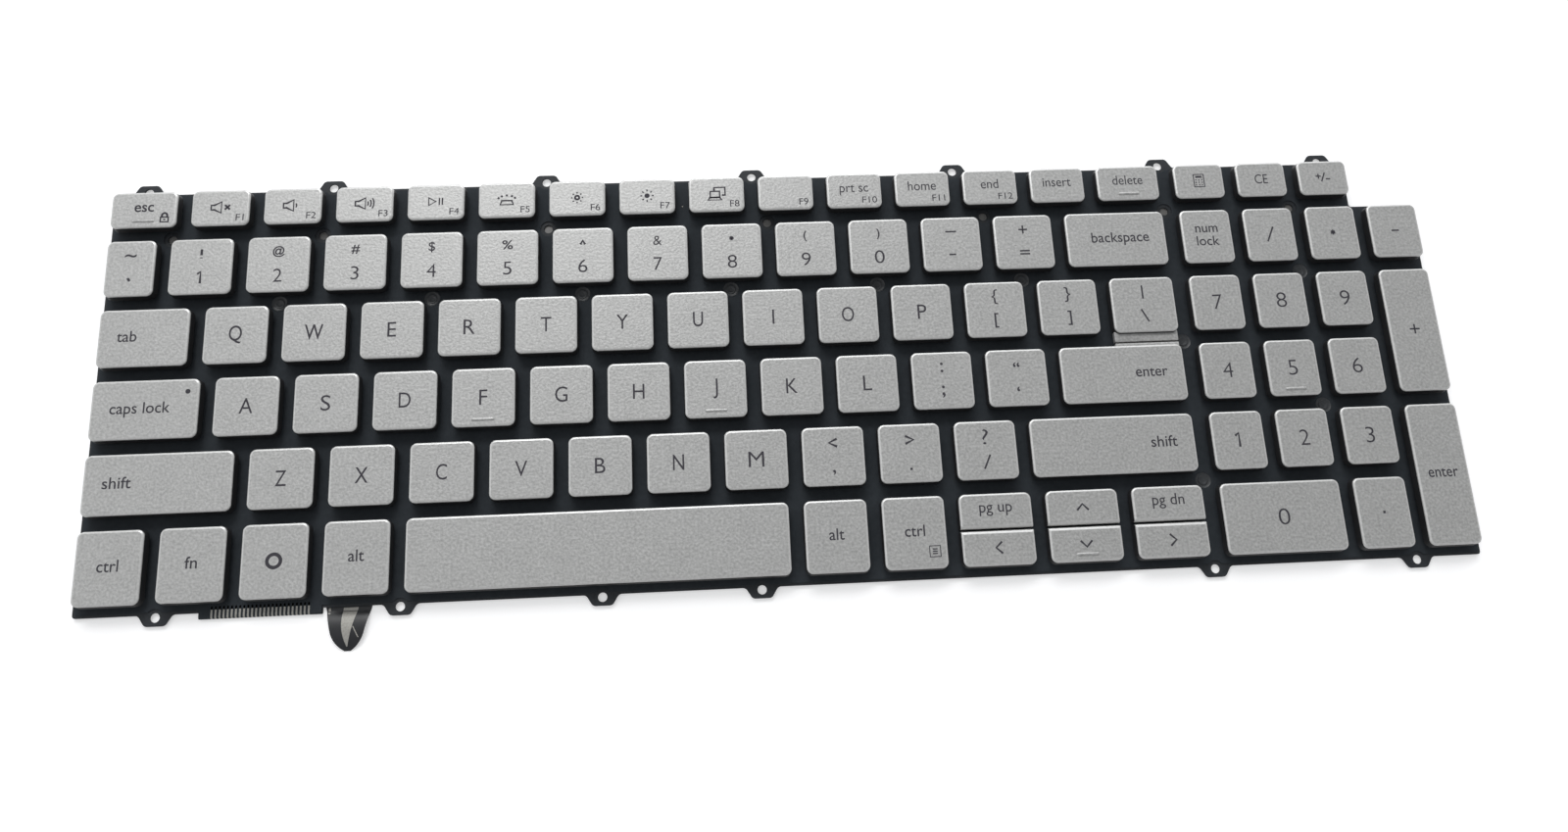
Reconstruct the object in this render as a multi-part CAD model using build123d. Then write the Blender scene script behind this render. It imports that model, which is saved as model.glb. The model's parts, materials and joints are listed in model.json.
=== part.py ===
from build123d import *
import os
from collections import namedtuple
from math import asin, atan, atan2, degrees, hypot

# A laptop keyboard with a number pad, out of its laptop. All sizes are in millimetres.
# X runs along the rows to the right, Y from the space bar to the function row, Z up.
# The origin is under the middle of the key field, on the underside.

# Key field
PITCH_X = 18.7  # from one letter key to the next
PITCH_Y = 18.05  # from one letter row to the next
GAP_X = 3.7  # between the tops of two keys in a row
GAP_Y = 3.6  # between the tops of two rows
PAD_SPACE = 4.5  # between the typing block and the number pad
PAD_KEY_WIDTH = 13.0
FUNCTION_DEPTH = 9.4
BOTTOM_DEPTH = 17.25
ESC_WIDTH = 15.8
DELETE_WIDTH = 16.1
GRAVE_WIDTH = 11.6
TAB_WIDTH = 21.2
BACKSLASH_WIDTH = 16.3
CAPS_WIDTH = 24.9
SHIFT_WIDTH = 34.1
ARROW_WIDTH = 17.5

# Stack, from the underside up
GUIDE_THICK = 0.45
PLATE_THICK = 0.45
MEMBRANE_THICK = 0.25
TRAVEL = 1.3  # how far a key goes down
PRESSED_CLEAR = 0.25  # left under a pressed key

# Keycap
CAP_HEIGHT = 2.3
CAP_FLARE = 0.3  # how far the skirt stands out past the top, on each side
CAP_CORNER = 1.1
CAP_ROOF = 0.9
CAP_SKIRT = 1.0
SPLIT_GAP = 0.5  # between the two halves of an arrow column
SPLIT_BEVEL = 0.8  # slope on the two edges that face that gap
FLANGE_HEIGHT = 1.2  # ledges between the backslash and enter keys
ENTER_FLANGE = 1.0
FLANGE_GAP = 0.4
BAR_LENGTH = 5.2  # raised bars that fingers find the middle keys by
BAR_WIDTH = 0.8
BAR_HEIGHT = 0.25
BAR_INSET = 1.7  # from the front of the cap's top to the middle of the bar

# Rubber dome
DOME_SIDES = 6
DOME_BASE_R = 2.3
DOME_TOP_R = 1.3

# Scissor
SCISSOR_WIDTH = 11.0
SCISSOR_DEPTH = 9.8
SCISSOR_BAR = 1.0
SCISSOR_THICK = 0.7
SCISSOR_CLEAR = 0.25  # between the inner frame and the outer one
SCISSOR_PLAY = 0.05  # between a frame's end and the membrane or the cap

# Stabiliser wire, with its hooks on the plate and its clips in the cap
WIRE_R = 0.4
WIRE_SIDES = 8
WIRE_PLAY = 0.1
WIRE_END_GAP = 0.4  # between the wire and the back of the cap
WIRE_ARM_RUN = 8.0
WIRE_ARM_INSET = 3.0  # from the cap's side to the arm
WIRE_PIN = 2.4
HOOK_WIDTH = 1.4
HOOK_THICK = 0.35
HOOK_SLOT = 0.3  # room round a hook in the membrane
CLIP_WIDTH = 1.5
CLIP_THICK = 0.35
CLIP_PLAY = 0.15
CLIP_INSET = 3.0  # from the wire's arm to the clip

# Base plate
PLATE_SIDE = 1.6  # past the keys on the left and right
PLATE_BACK = 1.2
PLATE_FRONT = 2.2
CORNER_CUT = 0.8
NOTCH_CLEAR = 1.6  # between the last function key and the power button's notch
EAR_WIDTH = 4.6
EAR_REACH = 2.6  # past the plate's edge
EAR_SHOULDER = 1.6
HOLE_R = 1.1
HOLE_RING = 0.9  # bare ring of plate round a hole
RING_SIDES = 8  # of the openings that leave that ring bare
HOLE_OUT = 0.6  # from the plate's edge out to the middle of a hole in an ear
BACK_EAR_X = (-160.0, -114.0, -60.0, -7.0, 46.0, 101.3, 145.0)
FRONT_EAR_X = (-149.5, -93.7, -46.7, -9.0, 101.3, 152.0)
UPPER_HOLE_X = (-153.2, -116.0, -59.5, -3.5, 53.0, 101.3, 135.1)
VENT_PITCHES = 2  # letter pitches between two vents in front of the number row
VENT_COUNT = 6
VENT_START_X = -125.7

# Films
FILM_INSET = 0.6  # the membrane stops this far inside the plate's edge
GUIDE_INSET = 1.5
TAIL_X = -125.6
TAIL_WIDTH = 28.0
TAIL_OUT = 0.9  # from the plate's edge to the bend of the tail
TAIL_RUN = 24.0  # of the tail under the plate
TAIL_SIDE = 0.5  # room beside the tail in the light guide
RIBBON_GAP = 0.7  # between the tail and the ribbon
RIBBON_WIDTH = 10.6
RIBBON_THICK = 0.2
RIBBON_LEAD = 1.0  # of flat ribbon past the plate
RIBBON_OUT = 10.2
RIBBON_TUCK = 6.0  # of the ribbon inside the light guide's edge
RIBBON_BOW = 1.2
RIBBON_TIP = 2.6  # cut off each corner of the tip

Key = namedtuple("Key", "name left right back front")

# Levels
plate_z = GUIDE_THICK
membrane_z = plate_z + PLATE_THICK
floor_z = membrane_z + MEMBRANE_THICK
cap_z = floor_z + PRESSED_CLEAR + TRAVEL
roof_z = cap_z + CAP_HEIGHT - CAP_ROOF
letter_width = PITCH_X - GAP_X
letter_depth = PITCH_Y - GAP_Y

# Edges of the key field
block_width = TAB_WIDTH + GAP_X + 12 * PITCH_X + BACKSLASH_WIDTH
pad_pitch = PAD_KEY_WIDTH + GAP_X
field_width = block_width + PAD_SPACE + 4 * pad_pitch - GAP_X
field_depth = FUNCTION_DEPTH + 4 * PITCH_Y + GAP_Y + BOTTOM_DEPTH
field_left = -field_width / 2
field_right = field_width / 2
field_back = field_depth / 2
field_front = -field_depth / 2
block_right = field_left + block_width
pad_left = block_right + PAD_SPACE
number_back = field_back - FUNCTION_DEPTH - GAP_Y
bottom_back = field_front + BOTTOM_DEPTH


def letter_back(row):
    """Back edge of a letter-size row. The number row is row 0."""
    return number_back - row * PITCH_Y


def key_row(names, widths, left, back, depth):
    """Keys side by side, with one gap between them."""
    keys = []
    for name, width in zip(names, widths):
        keys.append(Key(name, left, left + width, back, back - depth))
        left += width + GAP_X
    return keys


def typing_row(row, first_width, names):
    """A row whose last key fills what the others leave of the typing block's width."""
    middle = [letter_width] * (len(names) - 2)
    last_width = block_width - first_width - GAP_X - len(middle) * PITCH_X
    widths = [first_width, *middle, last_width]
    return key_row(names, widths, field_left, letter_back(row), letter_depth)


def function_row():
    names = ["esc", *[f"f{n}" for n in range(1, 13)], "insert", "delete"]
    middle = len(names) - 2
    left_over = block_width - ESC_WIDTH - DELETE_WIDTH - (middle + 1) * GAP_X
    widths = [ESC_WIDTH, *[left_over / middle] * middle, DELETE_WIDTH]
    keys = key_row(names, widths, field_left, field_back, FUNCTION_DEPTH)
    pad_names = ["calculator", "clear_entry", "plus_minus"]
    return keys + key_row(pad_names, [PAD_KEY_WIDTH] * 3, pad_left, field_back, FUNCTION_DEPTH)


def bottom_row():
    """Modifier keys and the space bar, up to the arrow columns."""
    names = ["left_ctrl", "fn", "start", "left_alt", "space", "right_alt", "right_ctrl"]
    space_width = block_width - 6 * PITCH_X - 3 * (ARROW_WIDTH + GAP_X)
    widths = [letter_width] * 4 + [space_width] + [letter_width] * 2
    return key_row(names, widths, field_left, bottom_back, BOTTOM_DEPTH)


def arrow_columns():
    left = block_right - 3 * ARROW_WIDTH - 2 * GAP_X
    names = ["left_arrow", "down_arrow", "right_arrow"]
    return key_row(names, [ARROW_WIDTH] * 3, left, bottom_back, BOTTOM_DEPTH)


def number_pad():
    """Four columns. Plus and enter are two rows tall, and zero is two columns wide."""
    three = [PAD_KEY_WIDTH] * 3
    top_names = ["lock", "divide", "times", "minus"]
    keys = key_row(top_names, [PAD_KEY_WIDTH] * 4, pad_left, number_back, letter_depth)
    for row, digits in enumerate(["789", "456", "123"], start=1):
        keys += key_row([f"pad_{digit}" for digit in digits], three, pad_left, letter_back(row), letter_depth)
    zero_width = PAD_KEY_WIDTH + pad_pitch
    keys += key_row(["zero", "point"], [zero_width, PAD_KEY_WIDTH], pad_left, bottom_back, BOTTOM_DEPTH)
    tall_left = field_right - PAD_KEY_WIDTH
    plus_depth = PITCH_Y + letter_depth
    enter_depth = letter_depth + GAP_Y + BOTTOM_DEPTH
    keys += key_row(["plus"], [PAD_KEY_WIDTH], tall_left, letter_back(1), plus_depth)
    keys += key_row(["enter"], [PAD_KEY_WIDTH], tall_left, letter_back(3), enter_depth)
    return keys


number_names = "grave 1 2 3 4 5 6 7 8 9 0 hyphen equals backspace".split()
upper_names = "tab q w e r t y u i o p left_bracket right_bracket backslash".split()
home_names = "caps_lock a s d f g h j k l semicolon quote enter".split()
lower_names = "left_shift z x c v b n m comma period slash right_shift".split()

upper_row_keys = function_row() + typing_row(0, GRAVE_WIDTH, number_names)
sprung_keys = typing_row(1, TAB_WIDTH, upper_names)
sprung_keys += typing_row(2, CAPS_WIDTH, home_names)
sprung_keys += typing_row(3, SHIFT_WIDTH, lower_names)
sprung_keys += bottom_row()
key_named = {key.name: key for key in sprung_keys}
stabilised_names = ["enter", "left_shift", "right_shift", "space"]
barred_names = ["esc", "delete", "f", "j", "pad_5", "down_arrow"]


def middle_of(key):
    return (key.left + key.right) / 2, (key.back + key.front) / 2


def block(left, right, front, back, low, high):
    """A box given by its six faces."""
    return Box(right - left, back - front, high - low).moved(
        Location(((left + right) / 2, (front + back) / 2, (low + high) / 2))
    )


def along_x(profile, x, width):
    """A profile drawn in Y and Z, drawn out along X to both sides of a place."""
    start = Plane(origin=(x - width / 2, 0, 0), x_dir=(0, 1, 0), z_dir=(1, 0, 0))
    return extrude(start * profile, width, dir=(1, 0, 0))


def cap_body(key):
    """Outside of a keycap: the skirt's outline drawn in towards the top."""
    width = key.right - key.left + 2 * CAP_FLARE
    depth = key.back - key.front + 2 * CAP_FLARE
    outline = Rectangle(width, depth)
    outline = chamfer(outline.vertices(), CAP_CORNER)
    x, y = middle_of(key)
    taper = degrees(atan(CAP_FLARE / CAP_HEIGHT))
    return extrude(outline, CAP_HEIGHT, taper=taper).moved(Location((x, y, cap_z)))


def cap_hollow(key):
    """Room under the roof, inside the skirt."""
    inset = CAP_SKIRT - CAP_FLARE
    return block(
        key.left + inset, key.right - inset, key.front + inset, key.back - inset, cap_z, roof_z
    )


def with_bar(cap, key):
    """A cap with its raised bar, if it is one of the keys that have one."""
    if key.name not in barred_names:
        return cap
    bar = extrude(Rectangle(BAR_LENGTH, BAR_WIDTH), BAR_HEIGHT)
    return cap + bar.moved(Location((middle_of(key)[0], key.front + BAR_INSET, cap_z + CAP_HEIGHT)))


def keycap(key):
    return with_bar(cap_body(key) - cap_hollow(key), key)


def backslash_cap(key):
    """The backslash key has a ledge in front, down beside the ledge of enter."""
    reach = GAP_Y - ENTER_FLANGE - FLANGE_GAP
    ledge = block(
        key.left, key.right, key.front - reach, key.front + CAP_SKIRT, cap_z, cap_z + FLANGE_HEIGHT
    )
    return cap_body(key) + ledge - cap_hollow(key)


def enter_cap(key, neighbour):
    """Enter has a ledge at the back, as wide as the key behind it."""
    ledge = block(
        neighbour.left, key.right, key.back - CAP_SKIRT, key.back + ENTER_FLANGE, cap_z, cap_z + FLANGE_HEIGHT
    )
    return cap_body(key) + ledge - cap_hollow(key)


def arrow_halves(column):
    """The two half-depth keys of one column, back one first."""
    middle = (column.back + column.front) / 2
    return (
        Key(column.name, column.left, column.right, column.back, middle + SPLIT_GAP / 2),
        Key(column.name, column.left, column.right, middle - SPLIT_GAP / 2, column.front),
    )


def arrow_caps(column):
    """One full-depth cap cut in two by a groove that opens towards the top."""
    x, middle = middle_of(column)
    top = cap_z + CAP_HEIGHT
    narrow = SPLIT_GAP / 2
    wide = narrow + SPLIT_BEVEL
    groove = Polygon(
        (middle - narrow, cap_z),
        (middle + narrow, cap_z),
        (middle + narrow, top - SPLIT_BEVEL),
        (middle + wide, top),
        (middle - wide, top),
        (middle - narrow, top - SPLIT_BEVEL),
        align=None,
    )
    cut_width = column.right - column.left + 4 * CAP_FLARE
    cap = cap_body(column) - along_x(groove, x, cut_width)
    for half in arrow_halves(column):
        cap = cap - cap_hollow(half)
    return list(with_bar(cap, column).solids())


def dome(key):
    """A rubber dome under the middle of a cap, from the membrane to the roof."""
    height = roof_z - floor_z
    taper = degrees(atan((DOME_BASE_R - DOME_TOP_R) / height))
    x, y = middle_of(key)
    base = RegularPolygon(DOME_BASE_R, DOME_SIDES, major_radius=False)
    return extrude(base, height, taper=taper).moved(Location((x, y, floor_z)))


def scissor_frame(key, width, depth, tilt_sign):
    """A flat ring, tilted until its ends all but touch the membrane and the cap."""
    half_room = (roof_z - floor_z) / 2 - SCISSOR_PLAY
    reach = hypot(depth / 2, SCISSOR_THICK / 2)
    tilt = degrees(asin(half_room / reach) - atan2(SCISSOR_THICK, depth))
    hole = Rectangle(width - 2 * SCISSOR_BAR, depth - 2 * SCISSOR_BAR)
    ring = extrude(Rectangle(width, depth) - hole, SCISSOR_THICK / 2, both=True)
    x, y = middle_of(key)
    return ring.moved(Location((x, y, (roof_z + floor_z) / 2), (tilt_sign * tilt, 0, 0)))


def outer_scissor(key):
    return scissor_frame(key, SCISSOR_WIDTH, SCISSOR_DEPTH, 1)


def inner_scissor(key):
    shrink = 2 * (SCISSOR_BAR + SCISSOR_CLEAR)
    return scissor_frame(key, SCISSOR_WIDTH - shrink, SCISSOR_DEPTH - shrink, -1)


def wire_line(key):
    """Where a stabiliser wire runs: its arms in X, then bar and pivot in Y and Z."""
    x = middle_of(key)[0]
    arm = (key.right - key.left) / 2 - WIRE_ARM_INSET
    bar_y = key.back - CAP_SKIRT + CAP_FLARE - WIRE_END_GAP - WIRE_R
    bar_z = roof_z - WIRE_PLAY - WIRE_R
    pivot_z = floor_z + WIRE_PLAY + WIRE_R
    return x - arm, x + arm, bar_y, bar_z, bar_y - WIRE_ARM_RUN, pivot_z


def stabiliser(key):
    """A bent wire: a bar under the cap, an arm at each end and a pin to turn on."""
    left, right, bar_y, bar_z, pivot_y, pivot_z = wire_line(key)
    path = Polyline(
        (left + WIRE_PIN, pivot_y, pivot_z),
        (left, pivot_y, pivot_z),
        (left, bar_y, bar_z),
        (right, bar_y, bar_z),
        (right, pivot_y, pivot_z),
        (right - WIRE_PIN, pivot_y, pivot_z),
    )
    section = Plane(origin=path @ 0, z_dir=path % 0) * RegularPolygon(WIRE_R, WIRE_SIDES, major_radius=False)
    return sweep(section, path=path, transition=Transition.RIGHT)


def hook_spots(key):
    """Middles of the two hooks of a wire, in X."""
    left, right = wire_line(key)[:2]
    return left + WIRE_PIN / 2 + WIRE_R / 2, right - WIRE_PIN / 2 - WIRE_R / 2


def hook(key, x):
    """A tongue stamped up from the plate and bent over a pin of the wire."""
    pivot_y, pivot_z = wire_line(key)[4:]
    room = WIRE_R + WIRE_PLAY
    profile = Polygon(
        (pivot_y - room - HOOK_THICK, membrane_z),
        (pivot_y - room, membrane_z),
        (pivot_y - room, pivot_z + room),
        (pivot_y + WIRE_R, pivot_z + room),
        (pivot_y + WIRE_R, pivot_z + room + HOOK_THICK),
        (pivot_y - room - HOOK_THICK, pivot_z + room + HOOK_THICK),
        align=None,
    )
    return along_x(profile, x, HOOK_WIDTH)


def hook_slot(key, x):
    """Opening in the membrane that a hook comes up through."""
    y = wire_line(key)[4] - WIRE_R - WIRE_PLAY - HOOK_THICK / 2
    half_x = HOOK_WIDTH / 2 + HOOK_SLOT
    half_y = HOOK_THICK / 2 + HOOK_SLOT
    return block(x - half_x, x + half_x, y - half_y, y + half_y, membrane_z, floor_z)


def clip(key, x):
    """A lip from the back of the skirt that carries the bar of the wire."""
    _, _, bar_y, bar_z, _, _ = wire_line(key)
    high = bar_z - WIRE_R - CLIP_PLAY
    skirt = key.back - CAP_SKIRT + CAP_FLARE
    return block(
        x - CLIP_WIDTH / 2, x + CLIP_WIDTH / 2, bar_y - WIRE_R, skirt + CAP_SKIRT / 2, high - CLIP_THICK, high
    )


def with_clips(cap, key):
    left, right = wire_line(key)[:2]
    return cap + clip(key, left + CLIP_INSET) + clip(key, right - CLIP_INSET)


def sprung_cap(key):
    if key.name == "backslash":
        return backslash_cap(key)
    cap = enter_cap(key, key_named["backslash"]) if key.name == "enter" else keycap(key)
    return with_clips(cap, key) if key.name in stabilised_names else cap


# Edges of the plate
plate_left = field_left - PLATE_SIDE
plate_right = field_right + PLATE_SIDE
plate_back = field_back + PLATE_BACK
plate_front = field_front - PLATE_FRONT
notch_x = pad_left + 3 * pad_pitch - GAP_X + NOTCH_CLEAR
notch_y = number_back + NOTCH_CLEAR
upper_gap_y = number_back + GAP_Y / 2
ribbon_left = TAIL_X + TAIL_WIDTH / 2 + RIBBON_GAP
ribbon_x = ribbon_left + RIBBON_WIDTH / 2


def sheet(inset, low, high):
    """The plate's outline without its ears, drawn in by an inset."""
    corners = [
        (plate_left + inset, plate_front + inset),
        (plate_right - inset, plate_front + inset),
        (plate_right - inset, notch_y - inset),
        (notch_x - inset, notch_y - inset),
        (notch_x - inset, plate_back - inset),
        (plate_left + inset, plate_back - inset),
    ]
    outline = Polygon(*corners, align=None)
    outline = chamfer(outline.vertices(), CORNER_CUT)
    return extrude(outline, high - low).moved(Location((0, 0, low)))


def ear(x, edge, outward):
    """A tab with sloping shoulders at the plate's edge."""
    half = EAR_WIDTH / 2
    foot = half + EAR_SHOULDER
    root = edge - outward * CORNER_CUT
    tip = edge + outward * EAR_REACH
    tab = Polygon((x - foot, root), (x + foot, root), (x + half, tip), (x - half, tip), align=None)
    return extrude(tab, PLATE_THICK, dir=(0, 0, 1)).moved(Location((0, 0, plate_z)))


def screw_holes():
    """Middles of the screw holes in the ears."""
    spots = [(x, plate_back + HOLE_OUT) for x in BACK_EAR_X]
    spots += [(x, plate_front - HOLE_OUT) for x in FRONT_EAR_X]
    return spots


def upper_holes():
    """Locating holes between the function row and the number row."""
    return [(x, upper_gap_y) for x in UPPER_HOLE_X]


def film_vents():
    """Round vents in the membrane, in the gaps between the letter rows."""
    aisle = pad_left - PAD_SPACE / 2
    pad_aisle = pad_left + 2 * pad_pitch - GAP_X / 2
    spots = [
        (VENT_START_X + n * VENT_PITCHES * PITCH_X, letter_back(1) + GAP_Y / 2) for n in range(VENT_COUNT)
    ]
    spots += [(pad_aisle, letter_back(1) + GAP_Y / 2), (aisle, letter_back(2) + GAP_Y / 2)]
    spots += [(pad_aisle, letter_back(3) + GAP_Y / 2), (aisle, bottom_back + GAP_Y / 2)]
    return spots


def openings_in(spots, radius, low, high):
    """Plain polygon openings, for vents and for clearance round a hole."""
    cuts = []
    for x, y in spots:
        hole = extrude(RegularPolygon(radius, RING_SIDES, major_radius=False), high - low)
        cuts.append(hole.moved(Location((x, y, low))))
    return cuts


def base_plate():
    plate = sheet(0, plate_z, membrane_z)
    for x in BACK_EAR_X:
        plate += ear(x, plate_back, 1)
    for x in FRONT_EAR_X:
        plate += ear(x, plate_front, -1)
    for x, y in screw_holes():
        plate -= Cylinder(HOLE_R, 4 * PLATE_THICK).moved(Location((x, y, plate_z)))
    plate -= openings_in(upper_holes(), HOLE_R, plate_z, membrane_z)
    for name in stabilised_names:
        for x in hook_spots(key_named[name]):
            plate += hook(key_named[name], x)
    return plate


def tail():
    """The membrane's own ribbon, folded round the front edge and back under the plate."""
    root = plate_front + FILM_INSET + CORNER_CUT
    bend = plate_front - TAIL_OUT
    outer_r = floor_z / 2
    fold = Circle(outer_r) - Circle(outer_r - MEMBRANE_THICK)
    fold &= Rectangle(outer_r, 2 * outer_r, align=(Align.MAX, Align.CENTER))
    upper = Rectangle(root - bend, MEMBRANE_THICK, align=Align.MIN).moved(Location((bend, membrane_z)))
    lower = Rectangle(TAIL_RUN, MEMBRANE_THICK, align=Align.MIN).moved(Location((bend, 0)))
    return along_x(upper + lower + fold.moved(Location((bend, outer_r))), TAIL_X, TAIL_WIDTH)


def membrane_circuit():
    film = sheet(FILM_INSET, membrane_z, floor_z)
    spots = screw_holes() + upper_holes() + film_vents()
    film -= openings_in(spots, HOLE_R + HOLE_RING, membrane_z, floor_z)
    for name in stabilised_names:
        for x in hook_spots(key_named[name]):
            film -= hook_slot(key_named[name], x)
    return film + tail()


def light_guide():
    """Clear sheet over a grey mask under the plate, cut away for the tail and slotted for the ribbon."""
    guide = sheet(GUIDE_INSET, 0, plate_z)
    half = TAIL_WIDTH / 2 + TAIL_SIDE
    end = plate_front - TAIL_OUT + TAIL_RUN + TAIL_SIDE
    guide -= block(TAIL_X - half, TAIL_X + half, plate_front, end, 0, plate_z)
    root = plate_front + GUIDE_INSET
    guide -= block(ribbon_left, ribbon_left + RIBBON_WIDTH, root, root + RIBBON_TUCK, 0, RIBBON_THICK)
    return guide


def backlight_ribbon():
    """A short flat ribbon from under the light guide, bowed up a little, with a blunt tip."""
    root = plate_front + GUIDE_INSET + RIBBON_TUCK
    leave = plate_front - RIBBON_LEAD
    tip = plate_front - RIBBON_OUT
    crest = (leave + tip) / 2
    flat = Rectangle(root - leave, RIBBON_THICK, align=Align.MIN).moved(Location((leave, 0)))
    bow = make_face(
        ThreePointArc((leave, 0), (crest, RIBBON_BOW), (tip, 0))
        + Line((tip, 0), (tip, RIBBON_THICK))
        + ThreePointArc((tip, RIBBON_THICK), (crest, RIBBON_BOW + RIBBON_THICK), (leave, RIBBON_THICK))
        + Line((leave, RIBBON_THICK), (leave, 0))
    )
    strip = along_x(flat + bow, ribbon_x, RIBBON_WIDTH)
    outline = Rectangle(RIBBON_WIDTH, root - tip, align=(Align.CENTER, Align.MIN))
    outline = chamfer(outline.vertices().sort_by(Axis.Y)[:2], RIBBON_TIP).moved(Location((ribbon_x, tip)))
    return strip & extrude(outline, RIBBON_BOW + 2 * RIBBON_THICK, both=True)


def group(solids):
    return Compound(children=[Solid(solid.wrapped) for solid in solids])


arrow_keys = [half for column in arrow_columns() for half in arrow_halves(column)]
fixed_keys = upper_row_keys + number_pad() + arrow_keys

parts = {
    "light_guide": light_guide(),
    "base_plate": base_plate(),
    "membrane_circuit": membrane_circuit(),
    "backlight_ribbon": backlight_ribbon(),
    "rubber_domes": group(dome(key).solid() for key in sprung_keys + fixed_keys),
    "scissor_outer_frames": group(outer_scissor(key).solid() for key in sprung_keys),
    "scissor_inner_frames": group(inner_scissor(key).solid() for key in sprung_keys),
    "upper_row_keys": group(keycap(key).solid() for key in upper_row_keys),
    "number_pad_keys": group(keycap(key).solid() for key in number_pad()),
    "navigation_keys": group(cap for column in arrow_columns() for cap in arrow_caps(column)),
}
for key in sprung_keys:
    parts[f"key_{key.name}"] = sprung_cap(key)
for name in stabilised_names:
    parts[f"wire_{name}"] = stabiliser(key_named[name])

os.makedirs("parts", exist_ok=True)
for name, shape in parts.items():
    export_step(shape, f"parts/{name}.step")
print(len(parts), "nodes, field", round(field_width, 2), "by", round(field_depth, 2))
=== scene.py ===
# %% [markdown]
# # A laptop keyboard, out of its laptop
# The part is a bare replacement keyboard: 101 silver caps, each on a rubber dome and 46 of them on a
# plastic scissor, over a black membrane and a thin steel plate with screw ears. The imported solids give
# every place and size. This lesson loads them as a fixed frame, and then dresses them with finer meshes and
# finishes.

# %% Load the frame
import bmesh
import bpy
import json
import math
from collections import namedtuple
from mathutils import Matrix, Vector


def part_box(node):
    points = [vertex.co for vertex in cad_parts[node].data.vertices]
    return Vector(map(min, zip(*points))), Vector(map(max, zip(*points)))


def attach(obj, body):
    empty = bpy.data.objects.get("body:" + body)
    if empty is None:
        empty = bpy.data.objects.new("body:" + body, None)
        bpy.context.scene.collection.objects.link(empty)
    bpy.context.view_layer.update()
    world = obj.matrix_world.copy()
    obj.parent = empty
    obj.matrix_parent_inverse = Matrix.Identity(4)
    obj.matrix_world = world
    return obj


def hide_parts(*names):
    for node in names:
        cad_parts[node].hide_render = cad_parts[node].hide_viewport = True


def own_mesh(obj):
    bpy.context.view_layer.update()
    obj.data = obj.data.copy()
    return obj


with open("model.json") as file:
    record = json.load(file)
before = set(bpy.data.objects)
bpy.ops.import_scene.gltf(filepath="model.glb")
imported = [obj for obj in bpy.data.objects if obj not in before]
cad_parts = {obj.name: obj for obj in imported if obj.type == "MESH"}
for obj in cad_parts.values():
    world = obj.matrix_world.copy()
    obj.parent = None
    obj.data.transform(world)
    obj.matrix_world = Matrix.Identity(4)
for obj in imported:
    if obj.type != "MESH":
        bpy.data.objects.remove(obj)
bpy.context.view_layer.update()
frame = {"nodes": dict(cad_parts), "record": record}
MM = 0.001

# %% [markdown]
# ## Where the keys are
# A key that moves has a node of its own, so its box is its place. The other keys come as groups of loose
# solids. A flood fill from corner to corner takes such a group apart, and reading order then gives each
# solid its name. The skirt of a cap stands out past its top, so the top is the box drawn in by that flare.

# %% Find every cap
FLARE = 0.3 * MM
Cap = namedtuple("Cap", "name body left right front back split")
WELD = 0.01 * MM
cap_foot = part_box("key_q")[0].z
cap_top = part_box("key_q")[1].z


def middle_of(cap):
    return (cap.left + cap.right) / 2, (cap.front + cap.back) / 2


def loose_boxes(node):
    """Lowest and highest corner of each separate solid in a node, in reading order."""
    shape = bmesh.new()
    shape.from_mesh(frame["nodes"][node].data)
    bmesh.ops.remove_doubles(shape, verts=shape.verts, dist=WELD)
    waiting = set(shape.verts)
    boxes = []
    while waiting:
        edge_of_flood = [waiting.pop()]
        island = []
        while edge_of_flood:
            vertex = edge_of_flood.pop()
            island.append(vertex.co.copy())
            for edge in vertex.link_edges:
                other = edge.other_vert(vertex)
                if other in waiting:
                    waiting.remove(other)
                    edge_of_flood.append(other)
        low = Vector(min(point[axis] for point in island) for axis in range(3))
        high = Vector(max(point[axis] for point in island) for axis in range(3))
        boxes.append((low, high))
    shape.free()
    return sorted(boxes, key=lambda box: (-round(box[1].y / MM), box[0].x))


def cap_in(name, body, low, high, split=None):
    """A cap from its box. A split cap is half of a cap, straight on the side that faces its other half."""
    front = low.y if split == "front" else low.y + FLARE
    back = high.y if split == "back" else high.y - FLARE
    return Cap(name, body, low.x + FLARE, high.x - FLARE, front, back, split)


UPPER_NAMES = [
    *"esc f1 f2 f3 f4 f5 f6 f7 f8 f9 f10 f11 f12 insert delete calculator clear_entry plus_minus".split(),
    *"grave 1 2 3 4 5 6 7 8 9 0 hyphen equals backspace".split(),
]
PAD_NAMES = "num_lock divide times minus 7 8 9 plus 4 5 6 1 2 3 enter 0 point".split()
ARROW_NAMES = "page_up up page_down left down right".split()

sprung_caps = {}
for node in frame["nodes"]:
    if node.startswith("key_"):
        name = node.removeprefix("key_")
        sprung_caps[name] = cap_in(name, f"cap_{name}", *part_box(node))
for name, neighbour in (("backslash", "right_bracket"), ("enter", "quote")):
    row = sprung_caps[neighbour]
    sprung_caps[name] = sprung_caps[name]._replace(front=row.front, back=row.back)

upper_caps = [cap_in(name, "frame", *box) for name, box in zip(UPPER_NAMES, loose_boxes("upper_row_keys"))]
pad_caps = [cap_in(name, "frame", *box) for name, box in zip(PAD_NAMES, loose_boxes("number_pad_keys"))]
arrow_sides = ["front"] * 3 + ["back"] * 3
arrow_caps = [
    cap_in(name, "frame", *box, split)
    for name, box, split in zip(ARROW_NAMES, loose_boxes("navigation_keys"), arrow_sides)
]
upper = {cap.name: cap for cap in upper_caps}
pad = {cap.name: cap for cap in pad_caps}
counts = [len(caps) for caps in (sprung_caps, upper, pad, arrow_caps)]
print("caps: {} sprung, {} upper, {} on the pad, {} arrow".format(*counts))

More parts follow.
